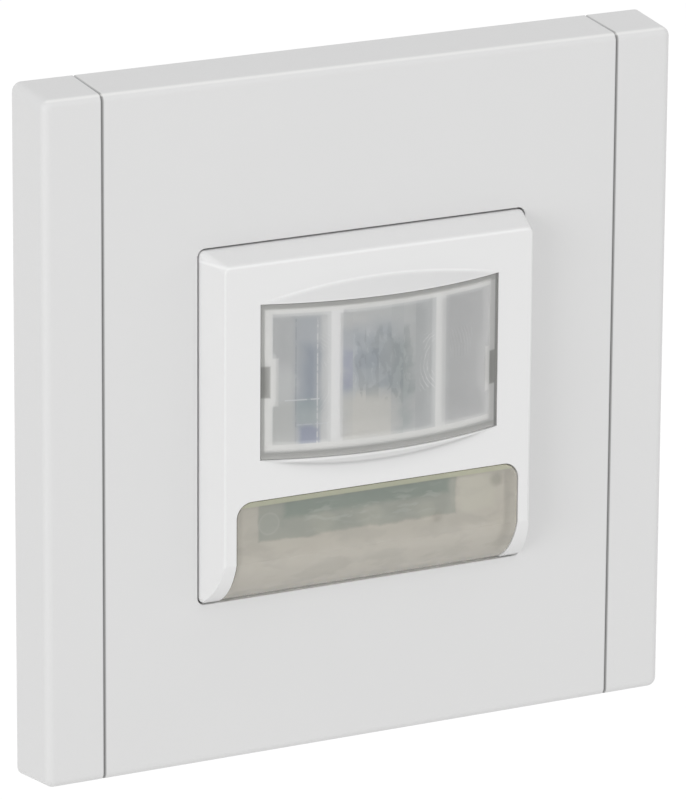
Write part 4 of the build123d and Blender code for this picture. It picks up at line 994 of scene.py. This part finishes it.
def background_rays(tree):
    """One for a ray that shows the background: from the camera, off a gloss or through a clear part."""
    path = add(tree, "LightPath").outputs
    seen = add(tree, "Math", {0: path["Is Camera Ray"], 1: path["Is Glossy Ray"]}, operation="MAXIMUM")
    return add(tree, "Math", {0: seen, 1: path["Is Transmission Ray"]}, operation="MAXIMUM")


def build_world(context, stage):
    """Even light from all round, and plain white where the camera or a reflection sees past the switch."""
    world = bpy.data.worlds.new("plain_white_studio")
    context.scene.world = world
    world.use_nodes = True
    tree = world.node_tree
    tree.nodes.clear()
    level = add(tree, "MapRange", {0: background_rays(tree), 1: 0.0, 2: 1.0, 3: stage.ambient})
    light = add(tree, "Background", {"Color": (1.0, 1.0, 1.0, 1.0), "Strength": level})
    add(tree, "OutputWorld", {"Surface": light})


def build_floor(context, stage):
    """A wide pale floor below the switch that fades into the white and keeps the switch's shadow."""
    shape = bmesh.new()
    bmesh.ops.create_grid(shape, x_segments=1, y_segments=1, size=FLOOR_HALF)
    bmesh.ops.translate(shape, vec=(0, 0, -stage.floor_drop), verts=shape.verts)
    mesh = bpy.data.meshes.new("studio_floor")
    shape.to_mesh(mesh)
    shape.free()
    floor = bpy.data.objects.new("studio_floor", mesh)
    context.scene.collection.objects.link(floor)
    made = bpy.data.materials.new("matt_white_paper")
    made.use_nodes = True
    tree = made.node_tree
    tree.nodes.clear()
    place = add(tree, "TexCoord").outputs["Object"]
    fibres = patchy(tree, place, 0.8 * MM, paint("#f4f4f3"), paint("#f8f8f8"))
    paper = add(tree, "BsdfDiffuse", {"Color": fibres})
    white = add(tree, "Emission", {"Color": (1.0, 1.0, 1.0, 1.0), "Strength": FLOOR_GLOW})
    share = add(tree, "Math", {0: background_rays(tree), 1: FLOOR_GLOW_SHARE}, operation="MULTIPLY")
    mixed = add(tree, "MixShader", {0: share, 1: paper, 2: white})
    add(tree, "OutputMaterial", {"Surface": mixed})
    mesh.materials.append(made)


def soft_light(context, name, direction, distance, size, level):
    """A square soft light whose level is what a white face turned to it would show."""
    data = bpy.data.lights.new(name, "AREA")
    data.size = size
    data.energy = level * math.pi ** 2 * distance ** 2
    lamp = bpy.data.objects.new(name, data)
    context.scene.collection.objects.link(lamp)
    away = direction.normalized()
    lamp.location = away * distance
    lamp.rotation_mode = "QUATERNION"
    lamp.rotation_quaternion = away.to_track_quat("Z", "Y")


class SwitchPanel(bpy.types.Panel):
    """Lists the settings and the steps"""

    bl_idname = "SWITCH_PT_motion_switch"
    bl_label = "Motion Sensor Switch"
    bl_space_type = "VIEW_3D"
    bl_region_type = "UI"
    bl_category = "Switch"

    def draw(self, context):
        for group in (context.scene.switch_finish, context.scene.switch_stage):
            box = self.layout.box()
            for name in group.bl_rna.properties.keys():
                if name not in {"rna_type", "name"}:
                    box.prop(group, name)
        for step in STEPS:
            self.layout.operator(step.bl_idname)


STEPS = (FinishShell, FinishLens, FinishKey, FinishBoards, FinishMetal, FinishHousing, AddBoardParts,
         BuildStage)
GROUPS = (SwitchFinish, SwitchStage)


def register():
    for each in (*GROUPS, *STEPS, SwitchPanel):
        bpy.utils.register_class(each)
    bpy.types.Scene.switch_finish = bpy.props.PointerProperty(type=SwitchFinish)
    bpy.types.Scene.switch_stage = bpy.props.PointerProperty(type=SwitchStage)


def unregister():
    del bpy.types.Scene.switch_stage
    del bpy.types.Scene.switch_finish
    for each in reversed((*GROUPS, *STEPS, SwitchPanel)):
        bpy.utils.unregister_class(each)


def main():
    register()
    for step in STEPS:
        group, name = step.bl_idname.split(".")
        getattr(getattr(bpy.ops, group), name)()


if __name__ == "__main__":
    main()
